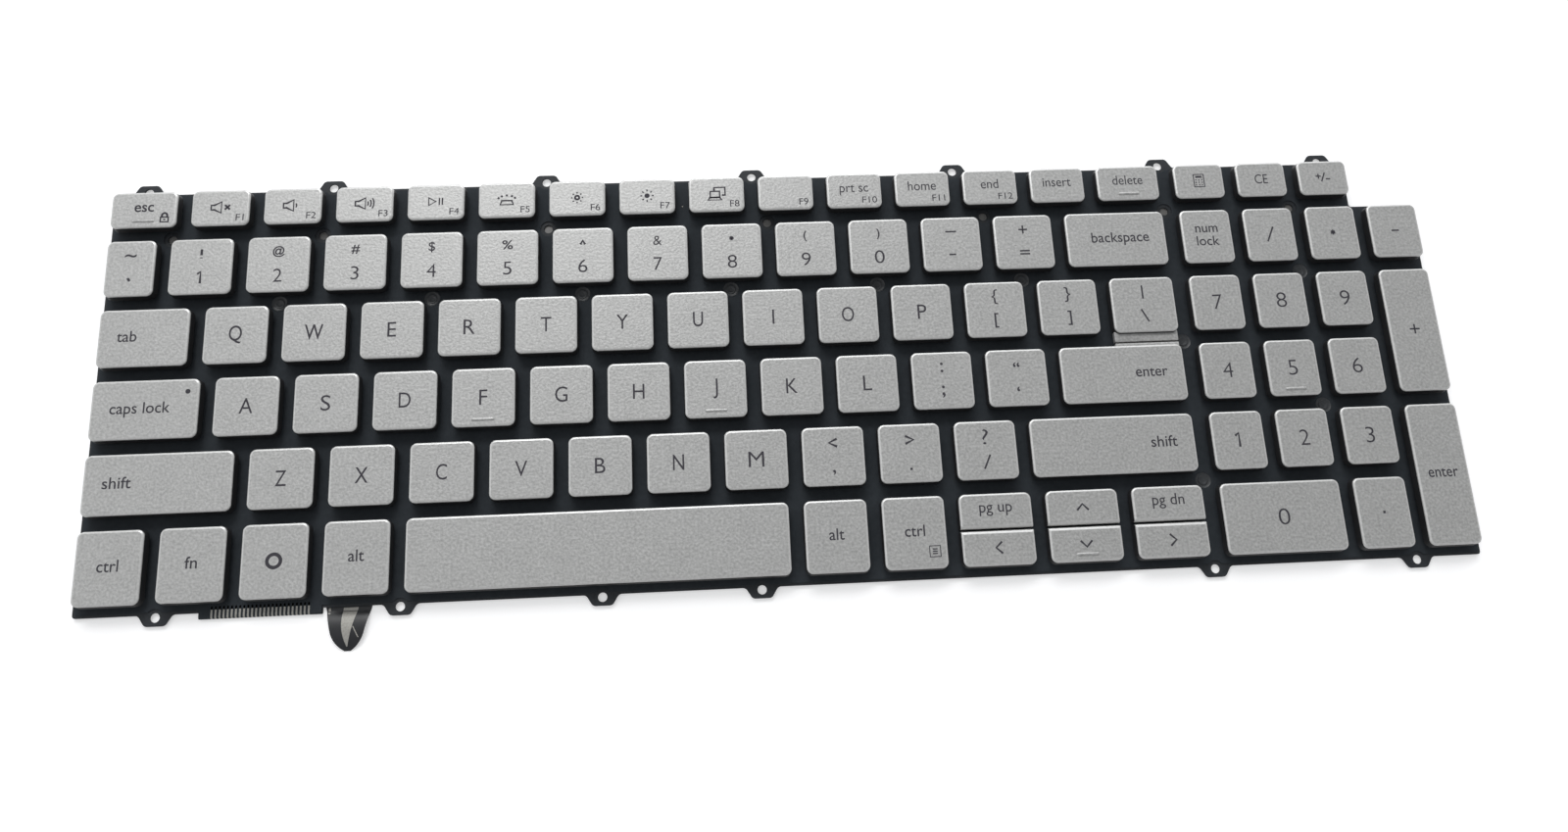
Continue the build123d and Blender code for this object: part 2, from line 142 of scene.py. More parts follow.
# %% [markdown]
# ## Camera
# The photograph looks down at the keys from a hand's height, a little from the front and turned slightly. A
# camera can be aimed with a constraint, or by hand. Here its three axes are worked out from the line of
# sight, so the picture's slight roll is kept too.

# %% Place the camera
EYE = Vector((-16.4, -79.5, 268.2)) * MM
SIGHT = Vector((0.0533, 0.2457, -0.9679)).normalized()
PICTURE_UP = Vector((0.0381, 0.9681, 0.2478))
LENS = 25.63
NEAREST = 0.01

camera = bpy.data.objects.new("camera", bpy.data.cameras.new("camera"))
bpy.context.scene.collection.objects.link(camera)
picture_right = SIGHT.cross(PICTURE_UP).normalized()
upright = picture_right.cross(SIGHT)
camera.matrix_world = Matrix.Translation(EYE) @ Matrix((picture_right, upright, -SIGHT)).transposed().to_4x4()
camera.data.lens = LENS
camera.data.sensor_fit = "HORIZONTAL"
camera.data.clip_start = NEAREST
bpy.context.scene.camera = camera
print("camera:", LENS, "mm lens at", [round(value, 4) for value in EYE])

# %% [markdown]
# ## Shared effects
# Two effects are made once and then shared. Fine grain is the mottle of pearl paint and of moulded or
# rolled sheet, and dust is a few pale specks, here on the film. Each is a node group with its own inputs,
# so a material only sets the values. They read object coordinates, which here are metres in the keyboard's
# own frame.

# %% Build the node groups
def new_group(name, inputs, outputs):
    """An empty shader group with number sockets, and its two end nodes."""
    group = bpy.data.node_groups.new(name, "ShaderNodeTree")
    for label, value in inputs.items():
        group.interface.new_socket(label, in_out="INPUT", socket_type="NodeSocketFloat").default_value = value
    for label in outputs:
        group.interface.new_socket(label, in_out="OUTPUT", socket_type="NodeSocketFloat")
    return group, group.nodes.new("NodeGroupInput"), group.nodes.new("NodeGroupOutput")


def math_node(tree, operation, first, second):
    """A Math node whose two inputs are sockets or plain numbers."""
    node = tree.nodes.new("ShaderNodeMath")
    node.operation = operation
    for socket, value in zip(node.inputs, (first, second)):
        if isinstance(value, (int, float)):
            socket.default_value = value
        else:
            tree.links.new(value, socket)
    return node.outputs[0]


def stretched(tree, value, low, high):
    """A value spread from its usual range to 0 to 1."""
    node = tree.nodes.new("ShaderNodeMapRange")
    tree.links.new(value, node.inputs["Value"])
    node.inputs["From Min"].default_value = low
    node.inputs["From Max"].default_value = high
    return node.outputs["Result"]


GRAIN_LAYERS = ((1.0, 2.0), (0.12, 1.0))
NOISE_LOW = 0.3
NOISE_HIGH = 0.7


def build_grain():
    """A fine layer of noise for height, and the same mixed with a coarse one for mottle."""
    group, start, end = new_group("fine grain", {"Scale": 2000.0, "Patchiness": 0.4}, ["Mottle", "Height"])
    place = group.nodes.new("ShaderNodeTexCoord").outputs["Object"]
    layers = []
    for share, detail in GRAIN_LAYERS:
        noise = group.nodes.new("ShaderNodeTexNoise")
        noise.inputs["Detail"].default_value = detail
        group.links.new(place, noise.inputs["Vector"])
        group.links.new(math_node(group, "MULTIPLY", start.outputs["Scale"], share), noise.inputs["Scale"])
        layers.append(stretched(group, noise.outputs["Fac"], NOISE_LOW, NOISE_HIGH))
    mix = group.nodes.new("ShaderNodeMix")
    group.links.new(start.outputs["Patchiness"], mix.inputs["Factor"])
    group.links.new(layers[0], mix.inputs["A"])
    group.links.new(layers[1], mix.inputs["B"])
    group.links.new(mix.outputs["Result"], end.inputs["Mottle"])
    group.links.new(layers[0], end.inputs["Height"])
    return group


def build_dust():
    """A mask of rare round specks, at most one to a cell."""
    group, start, end = new_group("dust specks", {"Scale": 150.0, "Size": 0.02, "Rarity": 0.9}, ["Mask"])
    place = group.nodes.new("ShaderNodeTexCoord").outputs["Object"]
    cells = group.nodes.new("ShaderNodeTexVoronoi")
    group.links.new(place, cells.inputs["Vector"])
    group.links.new(start.outputs["Scale"], cells.inputs["Scale"])
    split = group.nodes.new("ShaderNodeSeparateColor")
    group.links.new(cells.outputs["Color"], split.inputs["Color"])
    small = math_node(group, "LESS_THAN", cells.outputs["Distance"], start.outputs["Size"])
    rare = math_node(group, "GREATER_THAN", split.outputs["Red"], start.outputs["Rarity"])
    group.links.new(math_node(group, "MULTIPLY", small, rare), end.inputs["Mask"])
    return group


grain_group = build_grain()
dust_group = build_dust()
print("groups:", [group.name for group in bpy.data.node_groups])

# %% [markdown]
# ## Finishes
# Every finish here is a Principled shader with grain in its colour, roughness and bump. What differs is the
# scale of the grain, how deep it is and how metallic the surface looks, so one function makes them all from
# a few values.

# %% Make the materials
COLOUR_A, COLOUR_B, COLOUR_OUT = 6, 7, 2


def use_group(tree, group, **values):
    """A node group placed in a material with its own values."""
    node = tree.nodes.new("ShaderNodeGroup")
    node.node_tree = group
    for label, value in values.items():
        node.inputs[label].default_value = value
    return node


def colour_mix(tree, factor, first, second):
    """Colour between two, where each is a socket or three numbers."""
    node = tree.nodes.new("ShaderNodeMix")
    node.data_type = "RGBA"
    tree.links.new(factor, node.inputs["Factor"])
    for socket, value in ((node.inputs[COLOUR_A], first), (node.inputs[COLOUR_B], second)):
        if isinstance(value, tuple):
            socket.default_value = (*value, 1)
        else:
            tree.links.new(value, socket)
    return node.outputs[COLOUR_OUT]


def grained(name, dark, light, rough, grain, bump, metal=0.0, patch=0.2, dust=None, gloss=0.5, coat=None):
    """A finish with grain.

    rough is its lowest and highest roughness, bump the depth of its grain, dust the scale, size and rarity of
    its specks, and coat the roughness of a clear lacquer.
    """
    material = bpy.data.materials.new(name)
    material.use_nodes = True
    tree = material.node_tree
    shader = tree.nodes["Principled BSDF"]
    specks = use_group(tree, grain_group, Scale=grain, Patchiness=patch)
    colour = colour_mix(tree, specks.outputs["Mottle"], dark, light)
    if dust:
        mask = use_group(tree, dust_group, Scale=dust[0], Size=dust[1], Rarity=dust[2])
        colour = colour_mix(tree, mask.outputs["Mask"], colour, DUST_COLOUR)
    tree.links.new(colour, shader.inputs["Base Color"])
    spread = tree.nodes.new("ShaderNodeMapRange")
    tree.links.new(specks.outputs["Mottle"], spread.inputs["Value"])
    spread.inputs["To Min"].default_value = rough[0]
    spread.inputs["To Max"].default_value = rough[1]
    tree.links.new(spread.outputs["Result"], shader.inputs["Roughness"])
    relief = tree.nodes.new("ShaderNodeBump")
    relief.inputs["Distance"].default_value = bump
    tree.links.new(specks.outputs["Height"], relief.inputs["Height"])
    tree.links.new(relief.outputs["Normal"], shader.inputs["Normal"])
    shader.inputs["Metallic"].default_value = metal
    shader.inputs["Specular IOR Level"].default_value = gloss
    if coat:
        shader.inputs["Coat Weight"].default_value = 1.0
        shader.inputs["Coat Roughness"].default_value = coat
    return material


DUST_COLOUR = (0.55, 0.52, 0.46)
print("groups ready:", grain_group.name, "and", dust_group.name)

# %% Every finish
SILVER_GRAIN = 1600.0
silver_paint = grained(
    "silver pearl paint", (0.30, 0.30, 0.292), (0.48, 0.48, 0.468), (0.36, 0.45), SILVER_GRAIN, 0.03 * MM,
    metal=0.28, patch=0.12, coat=0.4,
)
# Paler than the tops: a painted highlight on the rims and on the slopes of split caps.
silver_rim_painted_highlight = grained(
    "silver paint on rims", (0.5, 0.5, 0.487), (0.6, 0.6, 0.585), (0.28, 0.34), SILVER_GRAIN, 0.006 * MM,
    metal=0.25, patch=0.12, coat=0.28,
)
cap_plastic = grained(
    "black cap plastic", (0.012, 0.012, 0.013), (0.02, 0.02, 0.021), (0.45, 0.6), 3000.0, 0.01 * MM,
)
legend_ink = grained(
    "legend ink", (0.042, 0.04, 0.047), (0.06, 0.057, 0.066), (0.6, 0.75), 4000.0, 0.004 * MM, gloss=0.15,
)
black_film = grained(
    "black film", (0.028, 0.033, 0.038), (0.036, 0.042, 0.048), (0.7, 0.8), 700.0, 0.006 * MM,
    dust=(120.0, 0.02, 0.9), gloss=0.12,
)
black_plate = grained(
    "black plate paint", (0.022, 0.025, 0.028), (0.034, 0.038, 0.043), (0.5, 0.62), 1800.0, 0.008 * MM,
    gloss=0.25,
)
stake_plastic = grained(
    "stake plastic", (0.03, 0.033, 0.036), (0.042, 0.046, 0.05), (0.3, 0.4), 2500.0, 0.004 * MM,
)
ribbon_gloss = grained(
    "ribbon film", (0.008, 0.009, 0.011), (0.014, 0.015, 0.018), (0.34, 0.42), 400.0, 0.001 * MM,
)
trace_ink = grained(
    "silver trace ink", (0.30, 0.29, 0.26), (0.42, 0.41, 0.38), (0.4, 0.55), 2500.0, 0.006 * MM, metal=0.3,
)
# Dark grey, as painted shade where the guide shows through the plate's holes.
guide_film_painted_shade = grained(
    "light guide film", (0.14, 0.137, 0.13), (0.19, 0.187, 0.18), (0.25, 0.4), 300.0, 0.004 * MM,
)
dome_rubber = grained("dome rubber", (0.62, 0.62, 0.59), (0.74, 0.74, 0.71), (0.5, 0.65), 900.0, 0.01 * MM)
scissor_plastic = grained(
    "scissor plastic", (0.68, 0.68, 0.66), (0.78, 0.78, 0.76), (0.4, 0.5), 1500.0, 0.006 * MM,
)
wire_steel = grained(
    "drawn steel", (0.45, 0.45, 0.45), (0.62, 0.62, 0.61), (0.25, 0.4), 1200.0, 0.005 * MM, metal=1.0,
)
print("materials:", len(bpy.data.materials))

# %% [markdown]
# ## Keycaps
# A cap is a moulded shell: a flat painted top with soft corners, a rounded rim, and dark walls that flare
# towards the skirt. A box with bevel modifiers would round all edges alike, so the cap is lofted instead.
# Loops of points are stacked from the hollow's roof down its inside, round the skirt, up the walls and over
# the rim to the top. Paint covers only the faces above the paint line. On the rim it is smoother, and its
# paler colour there is a painted highlight.

# %% Loops and lofts
CORNER = 1.5 * MM
CORNER_STEPS = 6


def rounded_loop(left, right, front, back, radii, steps=CORNER_STEPS):
    """Points round a rectangle with rounded corners, anticlockwise from the front right corner."""
    corners = ((right, front, 1, -1), (right, back, 1, 1), (left, back, -1, 1), (left, front, -1, -1))
    points = []
    for turn, ((x, y, side_x, side_y), radius) in enumerate(zip(corners, radii)):
        for step in range(steps + 1):
            angle = math.radians(90 * (turn - 1 + step / steps))
            middle_x = x - side_x * radius
            middle_y = y - side_y * radius
            points.append((middle_x + radius * math.cos(angle), middle_y + radius * math.sin(angle)))
    return points


def skin(shape, low, high, closed=True):
    """Faces between two rows of points, which run in a ring or from end to end."""
    faces = []
    for here in range(len(low) if closed else len(low) - 1):
        after = (here + 1) % len(low)
        faces.append(shape.faces.new((low[here], low[after], high[after], high[here])))
    return faces


def loft(shape, loops, finish=None):
    """Skin between loops of points, closed at both ends. finish gives a band's material by its number."""
    rings = [[shape.verts.new(point) for point in loop] for loop in loops]
    for band, (low, high) in enumerate(zip(rings, rings[1:])):
        for face in skin(shape, low, high):
            face.material_index = finish(band) if finish else 0
    shape.faces.new(list(reversed(rings[0]))).material_index = finish(0) if finish else 0
    shape.faces.new(rings[-1]).material_index = finish(len(rings) - 2) if finish else 0


SOFT_HALFWAY = 0.3
SOFT_CORNER = 1.01
SOFT_SHRINK = 0.9
SOFT_STEPS = 3


def box_in(shape, low, high, soft, finish=0):
    """A box with small rounded edges on its upright sides and its top."""
    halfway = soft * SOFT_HALFWAY
    loops = []
    for inset, z in ((0, low[2]), (0, high[2] - soft), (halfway, high[2] - halfway), (soft, high[2])):
        radii = [soft * SOFT_CORNER - inset * SOFT_SHRINK] * 4
        left, right = low[0] + inset, high[0] - inset
        outline = rounded_loop(left, right, low[1] + inset, high[1] - inset, radii, SOFT_STEPS)
        loops.append([(x, y, z) for x, y in outline])
    loft(shape, loops, lambda band: finish)


SHARP_ANGLE = math.radians(40)


def to_mesh(name, shape, *materials):
    """A mesh from a bmesh, shaded smooth apart from its sharp edges."""
    bmesh.ops.recalc_face_normals(shape, faces=shape.faces)
    mesh = bpy.data.meshes.new(name)
    shape.to_mesh(mesh)
    shape.free()
    for material in materials:
        mesh.materials.append(material)
    mesh.shade_smooth()
    mesh.set_sharp_from_angle(angle=SHARP_ANGLE)
    return mesh


def new_piece(name, shape, materials, body):
    """An object with the mesh of a bmesh, riding on a body."""
    piece = bpy.data.objects.new(name, to_mesh(name, shape, *materials))
    bpy.context.scene.collection.objects.link(piece)
    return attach(piece, body)


print("corners: radius", CORNER / MM, "mm in", CORNER_STEPS, "steps")

# %% Shape of one cap
ROOF = 0.9 * MM
SKIRT = 1.0 * MM
RIM_PROFILE = ((0.0, 0.34), (0.03, 0.22), (0.08, 0.15), (0.24, 0.08), (0.4, 0.02), (0.48, 0.0))
PAINT_DEPTH = 0.45 * MM
SPLIT_SLOPE = 0.8 * MM
SPLIT_PROFILE = ((0.0, 0.8), (0.03, 0.68), (0.19, 0.3), (0.4, 0.1), (0.8, 0.0))
SPLIT_CORNER = 0.15 * MM
TOP_RING = 0.1
HOLLOW_LOOPS = 2
PAINTED, DARK, RIM_HIGHLIGHT = 0, 1, 2
FIRST_PAINTED = 4
FIRST_FLAT = 10


def split_inset(depth):
    """How far the slope of a split cap is drawn in, at a depth below its top."""
    for (high, near), (low, far) in zip(SPLIT_PROFILE, SPLIT_PROFILE[1:]):
        if depth <= low * MM:
            return (near + (far - near) * (depth / MM - high) / (low - high)) * MM
    return 0.0


def cap_loops(cap):
    """Loops of a cap from the roof of its hollow to its top, each an outline at a height."""
    height = cap_top - cap_foot
    rings = [(SKIRT - FLARE, cap_top - ROOF), (SKIRT - FLARE, cap_foot), (-FLARE, cap_foot)]
    for z in (cap_top - SPLIT_SLOPE, cap_top - PAINT_DEPTH):
        rings.append((-FLARE * (cap_top - z) / height, z))
    wall = -FLARE * RIM_PROFILE[0][1] * MM / height
    rings += [(wall + inset * MM, cap_top - drop * MM) for inset, drop in RIM_PROFILE]
    rings.append((wall + (RIM_PROFILE[-1][0] + TOP_RING) * MM, cap_top))
    loops = []
    for number, (inset, z) in enumerate(rings):
        slope = inset if number < HOLLOW_LOOPS else split_inset(cap_top - z)
        front = cap.front + (slope if cap.split == "front" else inset)
        back = cap.back - (slope if cap.split == "back" else inset)
        round_corner = max(CORNER - inset, SPLIT_CORNER)
        front_r = SPLIT_CORNER if cap.split == "front" else round_corner
        back_r = SPLIT_CORNER if cap.split == "back" else round_corner
        radii = (front_r, back_r, back_r, front_r)
        outline = rounded_loop(cap.left + inset, cap.right - inset, front, back, radii)
        loops.append([(x, y, z) for x, y in outline])
    return loops


def cap_finish(band):
    """Material of a band of faces, by its number from the hollow outwards."""
    if band < FIRST_PAINTED:
        return DARK
    # Rim bands get the paler rim finish, a painted highlight.
    return RIM_HIGHLIGHT if band < FIRST_FLAT else PAINTED


print("cap: height", round((cap_top - cap_foot) / MM, 2), "mm,", len(cap_loops(sprung_caps["q"])), "loops")

# %% Raised bars and whole caps
BAR_LENGTH = 5.5 * MM
BAR_WIDTH = 0.8 * MM
BAR_HEIGHT = 0.25 * MM
BAR_INSET = 1.7 * MM
BAR_PROFILE = ((0, -0.2), (0.02, 0.2), (0.1, 0.55), (0.24, 0.85), (0.42, 1.0))
BAR_ROUND = 0.98


def add_bar(shape, cap):
    """A raised bar with round ends near the front of a cap."""
    x, _ = middle_of(cap)
    y = cap.front + BAR_INSET
    loops = []
    for inset, lift in BAR_PROFILE:
        half_x = BAR_LENGTH / 2 - inset * BAR_WIDTH
        half_y = BAR_WIDTH * (0.5 - inset)
        radii = [half_y * BAR_ROUND] * 4
        outline = rounded_loop(x - half_x, x + half_x, y - half_y, y + half_y, radii)
        loops.append([(*point, cap_top + lift * BAR_HEIGHT) for point in outline])
    loft(shape, loops)


def add_cap(shape, cap, barred):
    """A whole cap, with or without a raised bar."""
    start = len(shape.faces)
    loft(shape, cap_loops(cap), cap_finish)
    if cap.split:
        paint_slope(shape, cap, start)
    if barred:
        add_bar(shape, cap)


def paint_slope(shape, cap, start):
    """The paler rim finish, a painted highlight, on a split cap's slope, which starts lower than the rim."""
    shape.faces.ensure_lookup_table()
    edge = cap.front if cap.split == "front" else cap.back
    for face in shape.faces[start:]:
        middle = face.calc_center_median()
        if abs(middle.y - edge) < SPLIT_SLOPE and cap_top - SPLIT_SLOPE < middle.z < cap_top:
            face.material_index = RIM_HIGHLIGHT


print("bars:", BAR_LENGTH / MM, "by", BAR_WIDTH / MM, "mm")

# %% [markdown]
# ### Ledges and lips
# The enter key and the backslash key behind it meet with two low ledges, painted like the tops. The four
# widest caps have small lips under their back wall that carry a steel wire. Both are small soft-edged
# blocks in the cap's own mesh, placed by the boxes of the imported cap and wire.

# %% Make the caps
LEDGE_HEIGHT = 1.2 * MM
LEDGE_SOFT = 0.15 * MM
LIP_WIDTH = 1.5 * MM
LIP_THICK = 0.35 * MM
LIP_INSET = 3.0 * MM
WIRE_R = 0.4 * MM
LIP_PLAY = 0.15 * MM
LIP_SOFT = 0.08 * MM
BARRED_SPRUNG = ("f", "j")
BARRED_UPPER = ("esc", "delete")
WIRED = ("enter", "left_shift", "right_shift", "space")
# The third finish is the rim's painted highlight.
CAP_FINISHES = (silver_paint, cap_plastic, silver_rim_painted_highlight)


def add_ledge(shape, cap):
    """A ledge from inside a cap's wall to the line where the enter and backslash keys meet."""
    low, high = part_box(f"key_{cap.name}")
    back = cap.name == "enter"
    left = sprung_caps["backslash"].left
    front_y = cap.back - SKIRT / 2 if back else low.y
    back_y = high.y if back else cap.front + SKIRT / 2
    opposite = (cap.right, back_y, cap_foot + LEDGE_HEIGHT)
    box_in(shape, (left, front_y, cap_foot), opposite, LEDGE_SOFT, PAINTED)


def add_lips(shape, cap):
    """Two lips on a cap's back wall, just below the bar of its wire."""
    low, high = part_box(f"wire_{cap.name}")
    top = high.z - 2 * WIRE_R - LIP_PLAY
    for middle in (low.x + WIRE_R + LIP_INSET, high.x - WIRE_R - LIP_INSET):
        corner = (middle - LIP_WIDTH / 2, high.y - 2 * WIRE_R, top - LIP_THICK)
        opposite = (middle + LIP_WIDTH / 2, cap.back - SKIRT / 2, top)
        box_in(shape, corner, opposite, LIP_SOFT, DARK)


for cap in sprung_caps.values():
    shape = bmesh.new()
    add_cap(shape, cap, cap.name in BARRED_SPRUNG)
    if cap.name in ("enter", "backslash"):
        add_ledge(shape, cap)
    if cap.name in WIRED:
        add_lips(shape, cap)
    piece = new_piece(f"cap_{cap.name}", shape, CAP_FINISHES, cap.body)
    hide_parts(f"key_{cap.name}")

for group_name, node, caps, barred in (
    ("upper_row_caps", "upper_row_keys", upper_caps, BARRED_UPPER),
    ("number_pad_caps", "number_pad_keys", pad_caps, ("5",)),
    ("arrow_caps", "navigation_keys", arrow_caps, ("down",)),
):
    shape = bmesh.new()
    for cap in caps:
        add_cap(shape, cap, cap.name in barred)
    piece = new_piece(group_name, shape, CAP_FINISHES, "frame")
    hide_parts(node)

# %% [markdown]
# ## Legends
# The signs on the caps are thin dark print. They could be a picture on the material, but that needs an
# image and goes soft up close. Blender's own text objects, turned into meshes a hundredth of a millimetre
# thick, stay crisp and ride on their caps. A glyph is placed by the middle of its own outline, a word by
# its baseline. A bevel round the outline makes the print bolder and an offset inwards makes it finer, and
# all is then flattened.

# %% Text as thin meshes
INK_THICK = 0.012 * MM
FINE = 0.006 * MM
BOLD = 0.03 * MM
FONT_CAP_HEIGHT = 0.682
FONT_X_HEIGHT = 0.449
PLAIN_SQUEEZE = 0.87
INK_LIFT = INK_THICK / 4
pen = bpy.data.curves.new("pen", "FONT")
pen.resolution_u = 4
pen.bevel_resolution = 0
pen_holder = bpy.data.objects.new("pen", pen)
MARK_DEFAULTS = (0.0, 0.0, "middle", PLAIN_SQUEEZE, FINE)
Mark = namedtuple("Mark", "text height x y anchor squeeze weight", defaults=MARK_DEFAULTS)


def text_points(text, size, squeeze, weight):
    """A mesh of some text on a baseline through the origin. weight is how far its edges move outwards."""
    edge = max(weight, FINE)
    pen.body = text
    pen.size = 1
    pen.bevel_depth = edge / size
    pen.offset = (weight - edge) / size
    mesh = bpy.data.meshes.new_from_object(pen_holder)
    mesh.transform(Matrix.Diagonal((size * squeeze, size, size * INK_THICK / 2 / edge, 1)))
    return mesh


def print_mark(shape, cap, mark):
    """Adds one mark to a cap's print. Lower-case words stand on a line, and single signs are centred."""
    word = len(mark.text) > 1
    size = mark.height / (FONT_X_HEIGHT if word and mark.text.islower() else FONT_CAP_HEIGHT)
    mesh = text_points(mark.text, size, mark.squeeze, mark.weight)
    xs = [vertex.co.x for vertex in mesh.vertices]
    ys = [vertex.co.y for vertex in mesh.vertices]
    middle_x, middle_y = middle_of(cap)
    pull = {"left": min(xs), "right": max(xs), "middle": (min(xs) + max(xs)) / 2}[mark.anchor]
    hold = {"left": cap.left, "right": cap.right, "middle": middle_x}[mark.anchor]
    rise = mark.height / 2 if word else (min(ys) + max(ys)) / 2
    mesh.transform(Matrix.Translation((hold + mark.x - pull, middle_y + mark.y - rise, cap_top + INK_LIFT)))
    shape.from_mesh(mesh)
    bpy.data.meshes.remove(mesh)


print("print:", INK_THICK / MM, "mm thick, letters squeezed to", PLAIN_SQUEEZE)

# %% [markdown]
# ### What is printed where
# Letters stand alone in the middle. Number and punctuation keys have two signs, one above the other. Long
# keys have a word towards their outer end. The lists below hold only the words and signs, and a few sizes
# place them.

# %% Lists of marks
LETTER = 3.8 * MM
DIGIT = 3.5 * MM
PAD_DIGIT = 4.0 * MM
SHIFTED = 2.35 * MM
SIGN = 2.9 * MM
WORD = 1.78 * MM
SMALL_WORD = 1.68 * MM
UPPER_Y = 3.3 * MM
LOWER_Y = -2.95 * MM
WORD_INSET = 4.4 * MM
WORD_SQUEEZE = 0.95
SMALL_SQUEEZE = 0.88
LABEL = 1.72 * MM
LABEL_INSET = 1.2 * MM
LABEL_DOWN = -2.65 * MM
LABEL_SQUEEZE = 1.1
UPPER_WORD_Y = 0.4 * MM
NUM_Y = 1.9 * MM
LOCK_Y = -1.7 * MM

TWO_SIGNS = {
    "grave": "~`", "1": "!1", "2": "@2", "3": "#3", "4": "$4", "5": "%5", "6": "^6", "7": "&7", "8": "*8",
    "9": "(9", "0": ")0", "hyphen": "—-", "equals": "+=", "left_bracket": "{[", "right_bracket": "}]",
    "backslash": "|\\", "semicolon": ":;", "quote": "“‘", "comma": "<,", "period": ">.", "slash": "?/",
}
WORDS = {
    "tab": ("tab", "left"), "caps_lock": ("caps lock", "left"), "left_shift": ("shift", "left"),
    "enter": ("enter", "right"), "right_shift": ("shift", "right"), "backspace": ("backspace", "right"),
    "left_ctrl": ("ctrl", "middle"), "fn": ("fn", "middle"), "left_alt": ("alt", "middle"),
    "right_alt": ("alt", "middle"), "right_ctrl": ("ctrl", "middle"),
}
UPPER_WORDS = {"f10": "prt sc", "f11": "home", "f12": "end", "insert": "insert", "delete": "delete"}
PAD_SIGNS = {"divide": "/", "times": "*", "minus": "-", "plus": "+", "point": "."}
STRETCH = {"%": 1.2, "?": 1.4, "{": 1.3, "}": 1.2, "(": 0.85, ")": 0.85, "fn": 1.08, "shift": 1.06}
ENLARGED = {"@": 0.87, "&": 1.08, "?": 1.3, ":": 1.25, ";": 1.25, "~": 1.2, ",": 1.3, "(": 0.83, ")": 0.83}
DROPPED = {",": 1.1 * MM, ".": 1.0 * MM}
DIGIT_WEIGHT = -0.03 * MM
PAD_WEIGHT = -0.055 * MM
PLAIN_WEIGHT = -0.008
WEIGHTS = {
    "W": 0.035, "X": 0.02, "Q": 0.02, "U": 0.02, "N": 0.015, "M": -0.015, "?": -0.05, "@": 0.07, "#": 0.05,
    "$": 0.035, "%": 0.05, "(": 0.09, ")": 0.09, "“": 0.08, "‘": 0.08, ":": 0.04, ";": 0.04, "[": 0.035,
    "]": 0.035, "}": 0.02, "~": 0.05,
}
EVEN_WIDTHS = {
    **dict.fromkeys("BEFLPR", 1.1), **dict.fromkeys("MS", 1.24), **dict.fromkeys("CNOQUWXZ", 0.87),
    **dict.fromkeys("DT", 0.94), **dict.fromkeys("35689", 1.25), **dict.fromkeys("247", 1.13), "0": 1.34,
}
print("lists:", len(TWO_SIGNS), "keys with two signs,", len(WORDS), "with a word")


# %% From lists to marks
def sign_weight(sign):
    """How far a sign's edges move, since the print's signs are more alike in weight than the font's."""
    return WEIGHTS.get(sign, PLAIN_WEIGHT) * MM


def single(sign, height, y=0.0, weight=None):
    """One letter or figure. The print's are more alike in width than the font's."""
    squeeze = PLAIN_SQUEEZE * EVEN_WIDTHS.get(sign, 1.0)
    return Mark(sign, height, 0.0, y, squeeze=squeeze, weight=weight or sign_weight(sign))


def two_signs(signs):
    """One sign above another. Over a figure, the upper one is smaller."""
    height = SHIFTED if signs[1].isdigit() else SIGN
    marks = []
    for sign, y in zip(signs, (UPPER_Y, LOWER_Y)):
        if sign.isdigit():
            marks.append(single(sign, DIGIT, y, DIGIT_WEIGHT))
            continue
        tall = height * ENLARGED.get(sign, 1.0)
        y -= DROPPED.get(sign, 0.0)
        marks.append(Mark(sign, tall, 0.0, y, "middle", STRETCH.get(sign, 1.0), sign_weight(sign)))
    return marks


def word_mark(word, height, x=0.0, y=0.0, anchor="middle"):
    return Mark(word, height, x, y, anchor, WORD_SQUEEZE * STRETCH.get(word, 1.0), BOLD)


def marks_for(name):
    """Marks on a key of the typing block."""
    if name in TWO_SIGNS:
        return two_signs(TWO_SIGNS[name])
    if name in WORDS:
        word, anchor = WORDS[name]
        inset = {"left": WORD_INSET, "right": -WORD_INSET, "middle": 0.0}[anchor]
        return [word_mark(word, WORD, inset, 0.0, anchor)]
    return [single(name.upper(), LETTER)] if len(name) == 1 else []


def upper_marks(name):
    """Marks on a key of the function row or the number row."""
    marks = []
    if name == "esc":
        marks.append(Mark("esc", WORD, 0.0, UPPER_WORD_Y, "middle", WORD_SQUEEZE, 2 * BOLD))
    if name in UPPER_WORDS:
        marks.append(Mark(UPPER_WORDS[name], SMALL_WORD, 0.0, UPPER_WORD_Y, squeeze=SMALL_SQUEEZE))
    if name[0] == "f":
        marks.append(Mark(name.upper(), LABEL, -LABEL_INSET, LABEL_DOWN, "right", LABEL_SQUEEZE))
    return marks or marks_for(name)


def pad_marks(name):
    """Marks on a key of the number pad."""
    if name == "num_lock":
        return [word_mark("num", SMALL_WORD, y=NUM_Y), word_mark("lock", SMALL_WORD, y=LOCK_Y)]
    if name == "enter":
        return [Mark("enter", WORD, squeeze=SMALL_SQUEEZE, weight=BOLD)]
    return [single(PAD_SIGNS.get(name, name), PAD_DIGIT, weight=PAD_WEIGHT)]


print("marks:", sum(len(marks_for(name)) for name in sprung_caps), "on the sprung keys")

# %% [markdown]
# ### Icons
# The function keys carry drawn signs: a speaker, a sun, a screen. Each is a few lines of one width, so they
# are curves with a round bevel, flattened until they lie on the cap like print. Solid parts are filled flat
# curves.

# %% Lines of ink
LINE = 0.52 * MM
THIN_LINE = LINE * 0.7


def arc_points(x, y, radius, start, end, steps=10):
    angles = [math.radians(start + (end - start) * step / steps) for step in range(steps + 1)]
    return [(x + radius * math.cos(angle), y + radius * math.sin(angle)) for angle in angles]


def ring_points(x, y, radius, sides=28):
    return arc_points(x, y, radius, 0, 360 - 360 / sides, sides - 1)


def rectangle_points(left, front, right, back):
    return [(left, front), (right, front), (right, back), (left, back)]


